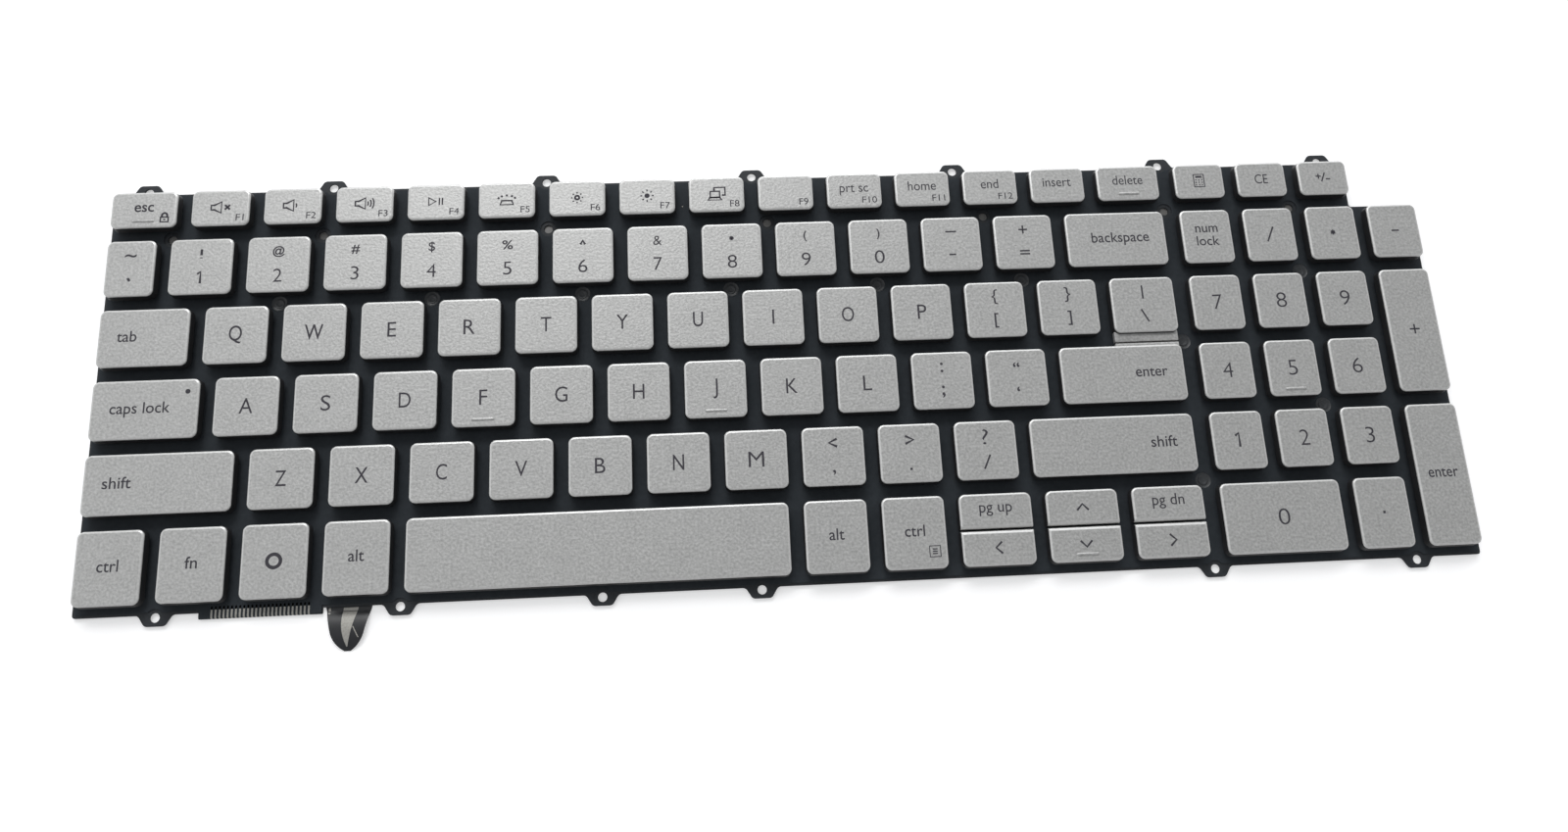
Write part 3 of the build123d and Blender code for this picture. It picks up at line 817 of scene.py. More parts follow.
def add_path(curve, points, closed):
    """Straight runs through some points, added to a curve."""
    spline = curve.splines.new("POLY")
    spline.points.add(len(points) - 1)
    for point, (x, y) in zip(spline.points, points):
        point.co = (x, y, 0, 1)
    spline.use_cyclic_u = closed


def curve_mesh(curve):
    """The mesh of a curve with its bevel or filling."""
    holder = bpy.data.objects.new(curve.name, curve)
    mesh = bpy.data.meshes.new_from_object(holder)
    bpy.data.objects.remove(holder)
    return mesh


def draw(shape, cap, paths, x=0.0, y=0.0, width=LINE, solid=False):
    """Adds lines to a cap's print. A path is its points in millimetres and whether it is closed."""
    curve = bpy.data.curves.new("icon", "CURVE")
    curve.dimensions = "2D" if solid else "3D"
    for points, closed in paths:
        add_path(curve, [(across * MM, along * MM) for across, along in points], closed)
    if solid:
        curve.fill_mode = "BOTH"
        curve.extrude = INK_THICK / 2
    else:
        curve.bevel_depth = width / 2
        curve.bevel_resolution = 1
        curve.use_fill_caps = True
    mesh = curve_mesh(curve)
    flatten = 1.0 if solid else INK_THICK / width
    middle_x, middle_y = middle_of(cap)
    place = Matrix.Translation((middle_x + x, middle_y + y, cap_top + INK_LIFT))
    mesh.transform(place @ Matrix.Diagonal((1, 1, flatten, 1)))
    shape.from_mesh(mesh)
    bpy.data.meshes.remove(mesh)


print("lines:", round(LINE / MM, 2), "and", round(THIN_LINE / MM, 3), "mm wide")

# %% The icons themselves
ICON_LIFT = 0.1 * MM
PADLOCK_INSET = 2.8 * MM
PADLOCK_Y = -2.2 * MM
CLEAR_HEIGHT = 2.6 * MM
CLEAR_SQUEEZE = 0.8
CHEVRON_HALF = 1.42
CHEVRON_DEEP = 0.76


def speaker():
    """A loudspeaker's box and cone."""
    return [([(-2.3, -0.6), (-1.5, -0.6), (0.2, -1.5), (0.2, 1.5), (-1.5, 0.6), (-2.3, 0.6)], True)]


def sound(waves):
    """Sound waves at the mouth of the cone."""
    paths = []
    for wave in range(waves):
        spread = 30 + 2 * wave
        paths.append((arc_points(-0.2, 0, 1.1 + 0.7 * wave, -spread, spread), False))
    return paths


def cross():
    """Two crossed lines, for no sound."""
    return [([(1.05, -0.62), (2.3, 0.62)], False), ([(1.05, 0.62), (2.3, -0.62)], False)]


def rays(count, inner, outer):
    """Lines that point away from the middle, as round a sun."""
    paths = []
    for ray in range(count):
        angle = math.radians(360.0 * ray / count)
        way = (math.cos(angle), math.sin(angle))
        paths.append(([(way[0] * inner, way[1] * inner), (way[0] * outer, way[1] * outer)], False))
    return paths


def circle(radius):
    return [(arc_points(0, 0, radius, 0, 345, 23), True)]


def key_light():
    """A key with light rising from it."""
    paths = [([(-1.65, -1.4), (1.65, -1.4), (1.25, -0.3), (-1.25, -0.3)], True)]
    for slant in (-60, -32, 0, 32, 60):
        way = (math.sin(math.radians(slant)), math.cos(math.radians(slant)))
        start = (way[0] * 2.1, way[1] * 1.15 - 0.3)
        paths.append(([start, (start[0] + way[0] * 0.55, start[1] + way[1] * 0.55)], False))
    return paths


def two_screens():
    """A laptop in front of a second screen."""
    laptop = [(-1.6, -1.0), (0.8, -1.0), (0.8, 0.7), (-1.6, 0.7)]
    base = [(-2.2, -1.7), (1.3, -1.7), (0.8, -1.0), (-1.7, -1.0)]
    screen = [(-0.6, 0.9), (-0.6, 1.75), (2.2, 1.75), (2.2, -0.4), (1.4, -0.4)]
    return [(laptop, True), (base, True), (screen, False)]


def calculator():
    """A case with a display and three rows of keys."""
    paths = [(rectangle_points(-1.35, -1.75, 1.35, 1.75), True)]
    paths += [([(-0.85, 1.15), (0.85, 1.15)], False), ([(-0.85, 0.95), (0.85, 0.95)], False)]
    for row in (0.2, -0.5, -1.2):
        for column in (-0.8, 0.0, 0.8):
            paths.append(([(column - 0.15, row), (column + 0.15, row)], False))
    return paths


def menu_sheet():
    """A sheet with three lines."""
    paths = [(rectangle_points(-1.3, -1.3, 1.3, 1.3), True)]
    for line in (-0.55, 0.0, 0.55):
        paths.append(([(-0.6, line), (0.6, line)], False))
    return paths


def chevron(way_x, way_y):
    """Two strokes that meet in a point, the way an arrow key moves."""
    tip_x, tip_y = way_x * CHEVRON_DEEP, way_y * CHEVRON_DEEP
    side_x, side_y = way_y * CHEVRON_HALF, way_x * CHEVRON_HALF
    return [([(side_x - tip_x, side_y - tip_y), (tip_x, tip_y), (-side_x - tip_x, -side_y - tip_y)], False)]


print("points in the icon of two screens:", sum(len(points) for points, _ in two_screens()))


# %% Icons of the function row
def upper_icons(shape, cap):
    """Drawn signs of the function row."""
    lines = {
        "f1": speaker() + cross(), "f2": speaker(), "f3": speaker(), "f5": key_light(), "f6": circle(0.52),
        "f4": [([(-1.8, -1.05), (-1.8, 1.05), (0.0, 0.0)], True)], "f8": two_screens(),
    }
    thin_lines = {
        "f2": sound(1), "f3": sound(3), "f6": rays(8, 1.15, 1.55), "f7": rays(8, 1.2, 1.7),
        "f4": [([(0.85, -0.95), (0.85, 0.95)], False), ([(1.6, -0.95), (1.6, 0.95)], False)],
        "calculator": calculator(),
        "plus_minus": [([(-1.9, 0.3), (-0.5, 0.3)], False), ([(-1.2, 1.0), (-1.2, -0.4)], False),
                       ([(-0.5, -1.2), (0.6, 1.3)], False), ([(0.7, -0.5), (1.9, -0.5)], False)],
    }
    if cap.name in lines:
        draw(shape, cap, lines[cap.name], y=ICON_LIFT)
    if cap.name in thin_lines:
        draw(shape, cap, thin_lines[cap.name], y=ICON_LIFT, width=THIN_LINE)
    if cap.name == "f7":
        draw(shape, cap, circle(0.65), y=ICON_LIFT, solid=True)
    if cap.name == "esc":
        lock_x = (cap.right - cap.left) / 2 - PADLOCK_INSET
        body = rectangle_points(-0.95, -1.15, 0.95, 0.1)
        keyhole = [(0.0, -0.75), (0.0, -0.35)]
        shackle = [(-0.65, 0.0), (-0.65, 0.55), *arc_points(0, 0.55, 0.65, 180, 0, 8), (0.65, 0.0)]
        draw(shape, cap, [(body, True), (shackle, False), (keyhole, False)], lock_x, PADLOCK_Y)
    if cap.name == "clear_entry":
        print_mark(shape, cap, Mark("CE", CLEAR_HEIGHT, 0.0, ICON_LIFT, squeeze=CLEAR_SQUEEZE))


print("icons: moved back by", ICON_LIFT / MM, "mm from the middle of their caps")

# %% [markdown]
# ### Signs made of strokes
# Many signs are only a stroke or two, and the font draws them thinner than its letters. They are drawn with
# the same pen as the icons, the small ones with a wider line. Each is given by the ends of its strokes.

# %% Strokes
STROKES = {
    "!": [((0, 1.2), (0, -0.4)), ((0, -0.95), (0, -1.2))],
    "1": [((-0.68, 0.9), (0.12, 1.52), (0.12, -1.52))],
    "^": [((-0.58, -0.5), (0, 0.55), (0.58, -0.5))],
    "*": [((0, -0.58), (0, 0.58)), ((-0.5, -0.29), (0.5, 0.29)), ((-0.5, 0.29), (0.5, -0.29))],
    "—": [((-1.4, 0), (1.4, 0))],
    "-": [((-0.88, 0), (0.88, 0))],
    "+": [((-1.12, 0), (1.12, 0)), ((0, -1.12), (0, 1.12))],
    "=": [((-1.28, 0.42), (1.28, 0.42)), ((-1.28, -0.42), (1.28, -0.42))],
    "|": [((0, -1.8), (0, 1.8))],
    "\\": [((-0.82, 1.65), (0.82, -1.65))],
    "/": [((-0.82, -1.75), (0.82, 1.75))],
    "<": [((1.0, 0.98), (-1.0, 0), (1.0, -0.98))],
    ">": [((-1.0, 0.98), (1.0, 0), (-1.0, -0.98))],
    "`": [((-0.28, 0.4), (0.28, -0.4))],
    ".": [((0, -0.28), (0, 0.28))],
}
HEAVY_SIGNS = "!1^<>`."
HEAVY_LINE = 0.62 * MM
LIGHT_LINE = 0.44 * MM
PAD_SCALE = 1.15
CHEVRONS = {"up": (0, 1), "down": (0, -1), "left": (-1, 0), "right": (1, 0)}
CAPS_LAMP_R = 0.6
CAPS_LAMP_X = 2.6 * MM
CAPS_LAMP_Y = 3.1 * MM
MENU_X = 3.0 * MM
MENU_Y = 4.0 * MM
MENU_LINE = LINE * 0.6
RING_SIGN_R = 1.55
RING_SIGN_LINE = LINE * 1.6
PAGE_Y = 0.6 * MM


def sprung_icons(shape, cap):
    """Drawn signs of the typing block, placed from the corners of their caps."""
    half_x = (cap.right - cap.left) / 2
    half_y = (cap.back - cap.front) / 2
    if cap.name == "caps_lock":
        draw(shape, cap, circle(CAPS_LAMP_R), half_x - CAPS_LAMP_X, half_y - CAPS_LAMP_Y, solid=True)
    if cap.name == "right_ctrl":
        draw(shape, cap, menu_sheet(), half_x - MENU_X, MENU_Y - half_y, MENU_LINE)
    if cap.name == "start":
        draw(shape, cap, circle(RING_SIGN_R), width=RING_SIGN_LINE)


def print_marks(shape, cap, marks, scale=1.0):
    """All marks on a cap, from the font or as strokes."""
    for mark in marks:
        if mark.text not in STROKES:
            print_mark(shape, cap, mark)
            continue
        paths = []
        for stroke in STROKES[mark.text]:
            paths.append(([(x * scale, y * scale) for x, y in stroke], False))
        width = HEAVY_LINE if mark.text in HEAVY_SIGNS else LIGHT_LINE
        draw(shape, cap, paths, mark.x, mark.y, width)


def print_piece(name, shape, body):
    """A piece of print, unless nothing was printed."""
    if shape.verts:
        new_piece(name, shape, [legend_ink], body)


print("signs made of strokes:", "".join(STROKES))

# %% Print the legends
for cap in sprung_caps.values():
    shape = bmesh.new()
    print_marks(shape, cap, marks_for(cap.name))
    sprung_icons(shape, cap)
    print_piece(f"legend_{cap.name}", shape, cap.body)

upper_print = bmesh.new()
for cap in upper_caps:
    print_marks(upper_print, cap, upper_marks(cap.name))
    upper_icons(upper_print, cap)
print_piece("legends_upper_rows", upper_print, "frame")

pad_print = bmesh.new()
for cap in pad_caps:
    print_marks(pad_print, cap, pad_marks(cap.name), PAD_SCALE)
print_piece("legends_number_pad", pad_print, "frame")

arrow_print = bmesh.new()
for cap in arrow_caps:
    if cap.name in CHEVRONS:
        draw(arrow_print, cap, chevron(*CHEVRONS[cap.name]))
    else:
        word = "pg up" if cap.name == "page_up" else "pg dn"
        print_mark(arrow_print, cap, Mark(word, WORD, 0.0, PAGE_Y, "middle", WORD_SQUEEZE, BOLD / 2))
print_piece("legends_arrows", arrow_print, "frame")
bpy.data.objects.remove(pen_holder)

# %% [markdown]
# ## Under the caps
# A rubber dome springs each cap back, and a scissor of two plastic frames keeps it level. When a key goes
# down, its dome and scissor flatten towards the membrane. A lattice or shape keys could do that. Here each
# sprung key gets a dome and a scissor of its own, with a mesh of its own.

# %% Domes
floor_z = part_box("rubber_domes")[0].z
roof_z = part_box("rubber_domes")[1].z
room = roof_z - floor_z
DOME_SIDES = 20
DOME_PROFILE = ((2.3, 0.0), (2.3, 0.07), (2.05, 0.13), (1.8, 0.5), (1.4, 0.88), (1.3, 0.93), (1.15, 1.0))


def add_turned(shape, x, y, profile, sides):
    """A profile of radii in millimetres and heights, turned round an upright axis."""
    loops = []
    for radius, z in profile:
        loops.append([(*point, z) for point in ring_points(x, y, radius * MM, sides)])
    loft(shape, loops)


def add_dome(shape, cap):
    profile = [(radius, floor_z + share * room) for radius, share in DOME_PROFILE]
    add_turned(shape, *middle_of(cap), profile, DOME_SIDES)


def press_with(piece):
    """Gives a piece under a sprung cap a mesh of its own."""
    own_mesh(piece)


for cap in sprung_caps.values():
    shape = bmesh.new()
    add_dome(shape, cap)
    piece = new_piece(f"dome_{cap.name}", shape, [dome_rubber], "frame")
    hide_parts("rubber_domes")
    press_with(piece)
shape = bmesh.new()
for cap in upper_caps + pad_caps + arrow_caps:
    add_dome(shape, cap)
piece = new_piece("domes_fixed_keys", shape, [dome_rubber], "frame")
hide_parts("rubber_domes")

# %% [markdown]
# ### Scissors
# Each scissor is an outer and an inner frame, tilted against each other until their ends all but touch the
# membrane and the cap. A frame is a ring with soft corners: four loops joined in a circle, inside and out,
# below and above.

# %% Scissors
SCISSOR_WIDTH = 11.0 * MM
SCISSOR_DEPTH = 9.8 * MM
SCISSOR_BAR = 1.0 * MM
SCISSOR_THICK = 0.7 * MM
SCISSOR_CLEAR = 0.25 * MM
SCISSOR_PLAY = 0.05 * MM
SCISSOR_ROUND = 0.6 * MM
SCISSOR_INNER_ROUND = 0.25 * MM
SCISSOR_STEPS = 2


def add_scissor_frame(shape, cap, shrink, turn):
    """One frame of a scissor, smaller by shrink on each side and tilted the way turn says."""
    half_x = SCISSOR_WIDTH / 2 - shrink
    half_y = SCISSOR_DEPTH / 2 - shrink
    reach = math.hypot(half_y, SCISSOR_THICK / 2)
    tilt = math.asin((room / 2 - SCISSOR_PLAY) / reach) - math.atan2(SCISSOR_THICK, 2 * half_y)
    middle = Vector((*middle_of(cap), (floor_z + roof_z) / 2))
    place = Matrix.Translation(middle) @ Matrix.Rotation(turn * tilt, 4, "X")
    rings = []
    for inset, z in ((0, -1), (0, 1), (SCISSOR_BAR, 1), (SCISSOR_BAR, -1)):
        radii = [SCISSOR_INNER_ROUND if inset else SCISSOR_ROUND] * 4
        across, along = half_x - inset, half_y - inset
        outline = rounded_loop(-across, across, -along, along, radii, SCISSOR_STEPS)
        rings.append([shape.verts.new(place @ Vector((x, y, z * SCISSOR_THICK / 2))) for x, y in outline])
    for here, low in enumerate(rings):
        skin(shape, low, rings[(here + 1) % len(rings)])


for cap in sprung_caps.values():
    shape = bmesh.new()
    add_scissor_frame(shape, cap, 0, 1)
    add_scissor_frame(shape, cap, SCISSOR_BAR + SCISSOR_CLEAR, -1)
    piece = new_piece(f"scissor_{cap.name}", shape, [scissor_plastic], "frame")
    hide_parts("scissor_outer_frames", "scissor_inner_frames")
    press_with(piece)
print("scissors:", len(sprung_caps))

# %% [markdown]
# ## Base plate
# The plate is thin black steel, cut by a press: straight edges with small ears for screws, round holes, and
# bent tongues that hold the wires. A flat curve filled by Blender gives its outline with true round holes,
# and the curve's extrusion gives its thickness. The places of the holes come from the record's mounts.

# %% Edges and screw holes
plate_low, plate_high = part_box("light_guide")
GUIDE_INSET = 1.5 * MM
plate_left = plate_low.x - GUIDE_INSET
plate_right = plate_high.x + GUIDE_INSET
plate_front = plate_low.y - GUIDE_INSET
plate_back = plate_high.y + GUIDE_INSET
plate_z = plate_high.z
PLATE_THICK = 0.45 * MM
film_z = plate_z + PLATE_THICK
NOTCH_CLEAR = 1.6 * MM
notch_x = upper["plus_minus"].right + NOTCH_CLEAR
notch_y = pad["minus"].back + NOTCH_CLEAR


def screw_holes():
    """Middles of the screw holes, from the bolt patterns and the bore in the record."""
    holes = []
    for mount in frame["record"]["mounts"]:
        x, y, _ = mount["pos_m"]
        step_x = mount["dims"].get("spacing_x_mm", 0) * MM / 2
        step_y = mount["dims"].get("spacing_y_mm", 0) * MM / 2
        if mount["kind"] == "bolt_pattern":
            holes += [(x - step_x, y - step_y), (x + step_x, y + step_y)]
        if mount["kind"] == "bore":
            holes.append((x, y))
    return sorted(holes)


holes = screw_holes()
back_holes = [hole for hole in holes if hole[1] > 0]
front_holes = [hole for hole in holes if hole[1] < 0]
print("screw holes:", len(back_holes), "at the back,", len(front_holes), "at the front")

# %% Plate outline
EAR_FOOT = 3.9 * MM
EAR_HALF = 2.3 * MM
EAR_REACH = 2.6 * MM
EAR_ROUND = 1.3 * MM
EDGE_ROUND = 0.8 * MM
HOLE_R = 1.1 * MM
UPPER_HOLE_X = (-153.2, -116.0, -59.5, -3.5, 53.0, 101.3, 135.1)
MOST_CUT = 0.49
SHEET_WELD = 0.002 * MM
PLATE_EDGE = 0.04 * MM
upper_gap_y = (upper["esc"].front + upper["grave"].back) / 2
upper_holes = [(x * MM, upper_gap_y) for x in UPPER_HOLE_X]


def rounded_outline(corners, steps=6):
    """A closed outline through corners of x, y and radius, each corner an arc."""
    points = []
    for here, (x, y, radius) in enumerate(corners):
        corner = Vector((x, y))
        before = Vector(corners[here - 1][:2]) - corner
        after = Vector(corners[(here + 1) % len(corners)][:2]) - corner
        half = before.angle(after) / 2
        cut = min(radius / math.tan(half), before.length * MOST_CUT, after.length * MOST_CUT)
        start = corner + before.normalized() * cut
        end = corner + after.normalized() * cut
        for step in range(steps + 1):
            share = step / steps
            bend = start.lerp(corner, share).lerp(corner.lerp(end, share), share)
            points.append(tuple(bend))
    return points


def ear_corners(x, edge, outward):
    """Corners of an ear, in the order of the way round the plate."""
    tip = edge + outward * EAR_REACH
    offsets = ((-EAR_FOOT, edge), (-EAR_HALF, tip), (EAR_HALF, tip), (EAR_FOOT, edge))
    corners = [(x + offset, y, EAR_ROUND) for offset, y in offsets]
    return corners if outward < 0 else corners[::-1]


def sheet_corners(inset, with_ears):
    """Corners of the plate, or of a film that stops inside it, anticlockwise from the front left."""
    front = plate_front + inset
    back = plate_back - inset
    corners = [(plate_left + inset, front, EDGE_ROUND)]
    if with_ears:
        for x, _ in front_holes:
            corners += ear_corners(x, front, -1)
    corners += [(plate_right - inset, front, EDGE_ROUND), (plate_right - inset, notch_y - inset, EDGE_ROUND)]
    corners += [(notch_x - inset, notch_y - inset, EDGE_ROUND), (notch_x - inset, back, EDGE_ROUND)]
    if with_ears:
        for x, _ in reversed(back_holes):
            corners += ear_corners(x, back, 1)
    corners.append((plate_left + inset, back, EDGE_ROUND))
    return corners


def flat_sheet(outline, cut_outs, low, high, edge):
    """A mesh of a sheet with openings, from a filled flat curve with a small rounded edge."""
    curve = bpy.data.curves.new("sheet", "CURVE")
    curve.dimensions = "2D"
    curve.fill_mode = "BOTH"
    curve.extrude = (high - low) / 2 - edge
    curve.bevel_depth = edge
    curve.bevel_resolution = 0
    curve.offset = -edge
    for points in (outline, *cut_outs):
        add_path(curve, points, True)
    mesh = curve_mesh(curve)
    mesh.transform(Matrix.Translation((0, 0, (low + high) / 2)))
    shape = bmesh.new()
    shape.from_mesh(mesh)
    bmesh.ops.remove_doubles(shape, verts=shape.verts, dist=SHEET_WELD)
    bpy.data.meshes.remove(mesh)
    return shape


print("plate outline:", len(sheet_corners(0, True)), "corners")

# %% Tongues and the plate itself
HOOK_WIDTH = 1.4 * MM
HOOK_THICK = 0.35 * MM
HOOK_ROOM = 0.5 * MM
HOOK_SOFT = 0.06 * MM
WIRE_PIN = 2.4 * MM


def hook_places():
    """Middle in X, wire in Y and Z, of each tongue that holds a wire's pin."""
    places = []
    for name in WIRED:
        low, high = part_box(f"wire_{name}")
        inset = WIRE_R + WIRE_PIN / 2 + WIRE_R / 2
        for x in (low.x + inset, high.x - inset):
            places.append((x, low.y + WIRE_R, low.z + WIRE_R))
    return places


def add_hook(shape, x, y, z):
    """A tongue bent over a pin: an upright and a roof."""
    wall_back = y - HOOK_ROOM
    top = z + HOOK_ROOM + HOOK_THICK
    left = x - HOOK_WIDTH / 2
    right = x + HOOK_WIDTH / 2
    box_in(shape, (left, wall_back - HOOK_THICK, film_z), (right, wall_back, top), HOOK_SOFT)
    box_in(shape, (left, wall_back - HOOK_THICK / 2, z + HOOK_ROOM), (right, y + WIRE_R, top), HOOK_SOFT)


plate_shape = flat_sheet(
    rounded_outline(sheet_corners(0, True)),
    [ring_points(x, y, HOLE_R) for x, y in holes + upper_holes],
    plate_z, film_z, PLATE_EDGE,
)
for place in hook_places():
    add_hook(plate_shape, *place)
plate_piece = new_piece("steel_plate", plate_shape, [black_plate], "frame")
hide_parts("base_plate")
print("plate:", len(plate_piece.data.polygons), "faces")

# %% [markdown]
# ## Membrane
# The membrane is the black film between the keys. It is open round every hole, so the plate shows there as
# a ring. Its own tail folds round the plate's front edge and runs back below, with a comb of silver traces.
# The sheet is another filled curve. Where a ring runs off its edge, the outline takes a bite along an arc.

# %% Film
FILM_THICK = 0.25 * MM
FILM_INSET = 0.6 * MM
RING_R = 2.0 * MM
VENT_START_X = -125.7 * MM
VENT_STEP = 37.4 * MM
VENT_COUNT = 6
SLOT_ROOM = 0.3 * MM
SLOT_ROUND = 0.2 * MM
SLOT_STEPS = 2
BITE_STEPS = 12
FILM_EDGE = 0.02 * MM
ON_EDGE = 0.001 * MM
film_top = film_z + FILM_THICK


def bite_points(x, y, edge):
    """Points of the arc where an opening cuts into the film's edge, in the order of the way round."""
    half = math.degrees(math.acos(abs(edge - y) / RING_R))
    if y > edge:
        return arc_points(x, y, RING_R, half - 90, -half - 90, BITE_STEPS)
    return arc_points(x, y, RING_R, half + 90, 90 - half, BITE_STEPS)


def film_outline():
    """The way round the film, with a bite at each screw hole."""
    edges = ((plate_front + FILM_INSET, front_holes), (plate_back - FILM_INSET, back_holes[::-1]))
    corners = rounded_outline(sheet_corners(FILM_INSET, False))
    points = []
    for here, point in enumerate(corners):
        points.append(point)
        after = corners[(here + 1) % len(corners)]
        left, right = sorted((point[0], after[0]))
        for edge, edge_holes in edges:
            if max(abs(point[1] - edge), abs(after[1] - edge)) < ON_EDGE:
                for hole in edge_holes:
                    if left < hole[0] < right:
                        points += bite_points(*hole, edge)
    return points


def vents():
    """Middles of the round openings in the film between the letter rows."""
    row_gap = upper["grave"].front - sprung_caps["tab"].back
    row_backs = [sprung_caps[name].back for name in ("tab", "caps_lock", "left_shift", "left_ctrl")]
    aisle = (sprung_caps["enter"].right + pad["num_lock"].left) / 2
    pad_aisle = (pad["divide"].right + pad["times"].left) / 2
    spots = [(VENT_START_X + step * VENT_STEP, row_backs[0] + row_gap / 2) for step in range(VENT_COUNT)]
    spots += [(pad_aisle, row_backs[0] + row_gap / 2), (aisle, row_backs[1] + row_gap / 2)]
    spots += [(pad_aisle, row_backs[2] + row_gap / 2), (aisle, row_backs[3] + row_gap / 2)]
    return spots


def hook_slot(x, y):
    """An opening in the film round the foot of a tongue."""
    middle = y - HOOK_ROOM - HOOK_THICK / 2
    half_x = HOOK_WIDTH / 2 + SLOT_ROOM
    half_y = HOOK_THICK / 2 + SLOT_ROOM
    radii = [SLOT_ROUND] * 4
    return rounded_loop(x - half_x, x + half_x, middle - half_y, middle + half_y, radii, SLOT_STEPS)


cut_outs = [ring_points(x, y, RING_R) for x, y in upper_holes + vents()]
cut_outs += [hook_slot(x, y) for x, y, _ in hook_places()]
film_shape = flat_sheet(film_outline(), cut_outs, film_z, film_top, FILM_EDGE)
print("film:", len(film_shape.faces), "faces,", len(cut_outs), "openings")

# %% Tail and its traces
TAIL_X = -125.6 * MM
TAIL_HALF = 14.0 * MM
TAIL_OUT = 0.9 * MM
TAIL_RUN = 24.0 * MM
TRACE_COUNT = 25
TRACE_STEP = 0.92 * MM
TRACE_WIDTH = 0.42 * MM
TRACE_THICK = 0.012 * MM
BEND_STEPS = 14


def tail_line(lift):
    """The tail's middle line in Y and Z, moved outward by lift: along the top, round the bend, back below."""
    bend_y = plate_front - TAIL_OUT
    bend_z = film_top / 2
    radius = bend_z - FILM_THICK / 2 + lift
    root = plate_front + FILM_INSET + EDGE_ROUND
    points = [(root, bend_z + radius)]
    points += arc_points(bend_y, bend_z, radius, 90, 270, BEND_STEPS)
    points.append((bend_y + TAIL_RUN, bend_z - radius))
    return points


def add_strip(shape, left, right, low_line, high_line):
    """A band between two lines in Y and Z, drawn out along X."""
    profile = low_line + high_line[::-1]
    ends = []
    for x in (left, right):
        ends.append([shape.verts.new((x, y, z)) for y, z in profile])
    skin(shape, *ends)
    half = len(low_line)
    for verts in ends:
        skin(shape, verts[:half], verts[half:][::-1], closed=False)


tail_inside = tail_line(-FILM_THICK / 2)
tail_outside = tail_line((FILM_THICK - TRACE_THICK) / 2)
trace_outside = tail_line(FILM_THICK / 2)
add_strip(film_shape, TAIL_X - TAIL_HALF, TAIL_X + TAIL_HALF, tail_inside, tail_outside)
film_piece = new_piece("membrane_film", film_shape, [black_film], "frame")
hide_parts("membrane_circuit")

shape = bmesh.new()
for trace in range(TRACE_COUNT):
    x = TAIL_X + (trace - (TRACE_COUNT - 1) / 2) * TRACE_STEP
    add_strip(shape, x - TRACE_WIDTH / 2, x + TRACE_WIDTH / 2, tail_outside, trace_outside)
new_piece("tail_traces", shape, [trace_ink], "frame")
print("tail: width", round(2 * TAIL_HALF / MM), "mm,", TRACE_COUNT, "traces")

# %% [markdown]
# ### Stakes in the vents
# In each round opening between the letter rows, a small stake closes flush with the film: a ring with a
# dimple. Its right and front edges catch the light. A profile turned round its axis makes it.

# %% Stakes
STAKE_PROFILE = (
    (1.95, 0.0), (1.95, 0.24), (1.5, 0.05), (1.2, 0.05), (1.15, 0.2), (0.95, 0.22), (0.55, 0.04), (0.3, 0.04),
)
STAKE_SIDES = 28
profile = [(radius, film_z + z * MM) for radius, z in STAKE_PROFILE]
shape = bmesh.new()
for x, y in vents():
    add_turned(shape, x, y, profile, STAKE_SIDES)
new_piece("film_stakes", shape, [stake_plastic], "frame")
print("stakes:", len(vents()))

# %% [markdown]
# ## Backlight ribbon
# The narrow ribbon of the backlight comes out from under the plate, bows up and ends in a blunt round tip.
# It is glossy black film with pale printed traces. A grid that follows the bow gives both the film and the
# traces, which are the same surface lifted by a hair.

# %% Ribbon
ribbon_low, ribbon_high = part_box("backlight_ribbon")
RIBBON_THICK = 0.2 * MM
RIBBON_LEAD = 1.0 * MM
RIBBON_X = (ribbon_low.x + ribbon_high.x) / 2
RIBBON_HALF = (ribbon_high.x - ribbon_low.x) / 2
RIBBON_BOW = ribbon_high.z - RIBBON_THICK
ribbon_root = ribbon_high.y
ribbon_leave = plate_front - RIBBON_LEAD
ribbon_tip = ribbon_low.y
TAPER = 0.47
ROUND_START = 0.6
LEAST_TIP = 0.06


def ribbon_height(y):
    """Height of the ribbon's underside: flat, then an arc up and down to the tip."""
    if y >= ribbon_leave:
        return 0.0
    half = (ribbon_leave - ribbon_tip) / 2
    radius = (half * half + RIBBON_BOW * RIBBON_BOW) / (2 * RIBBON_BOW)
    across = y - (ribbon_leave + ribbon_tip) / 2
    return math.sqrt(max(0, radius * radius - across * across)) - radius + RIBBON_BOW


def ribbon_half(y):
    """Half the ribbon's width: full under the plate, a slight taper outside, then round to a blunt tip."""
    out = max(0, (plate_front - y) / (plate_front - ribbon_tip))
    half = RIBBON_HALF * (1 - TAPER * out)
    share = max(0, (out - ROUND_START) / (1 - ROUND_START))
    return half * math.sqrt(max(LEAST_TIP, 1 - share * share))


def add_ribbon_band(shape, left_of, right_of, start, end, low, high, steps=40, columns=6):
    """A band of the ribbon from start to end in Y, between two edges, from low to high above its back."""
    grids = []
    for lift in (low, high):
        grid = []
        for step in range(steps + 1):
            y = start + (end - start) * step / steps
            left, right = left_of(y), right_of(y)
            row = []
            for column in range(columns + 1):
                x = left + (right - left) * column / columns
                row.append(shape.verts.new((RIBBON_X + x, y, ribbon_height(y) + lift)))
            grid.append(row)
        grids.append(grid)
    for grid in grids:
        for here, after in zip(grid, grid[1:]):
            skin(shape, here, after, closed=False)
    rims = [([row[0] for row in grid], [row[-1] for row in grid], grid[0], grid[-1]) for grid in grids]
    for low_rim, high_rim in zip(*rims):
        skin(shape, low_rim, high_rim, closed=False)


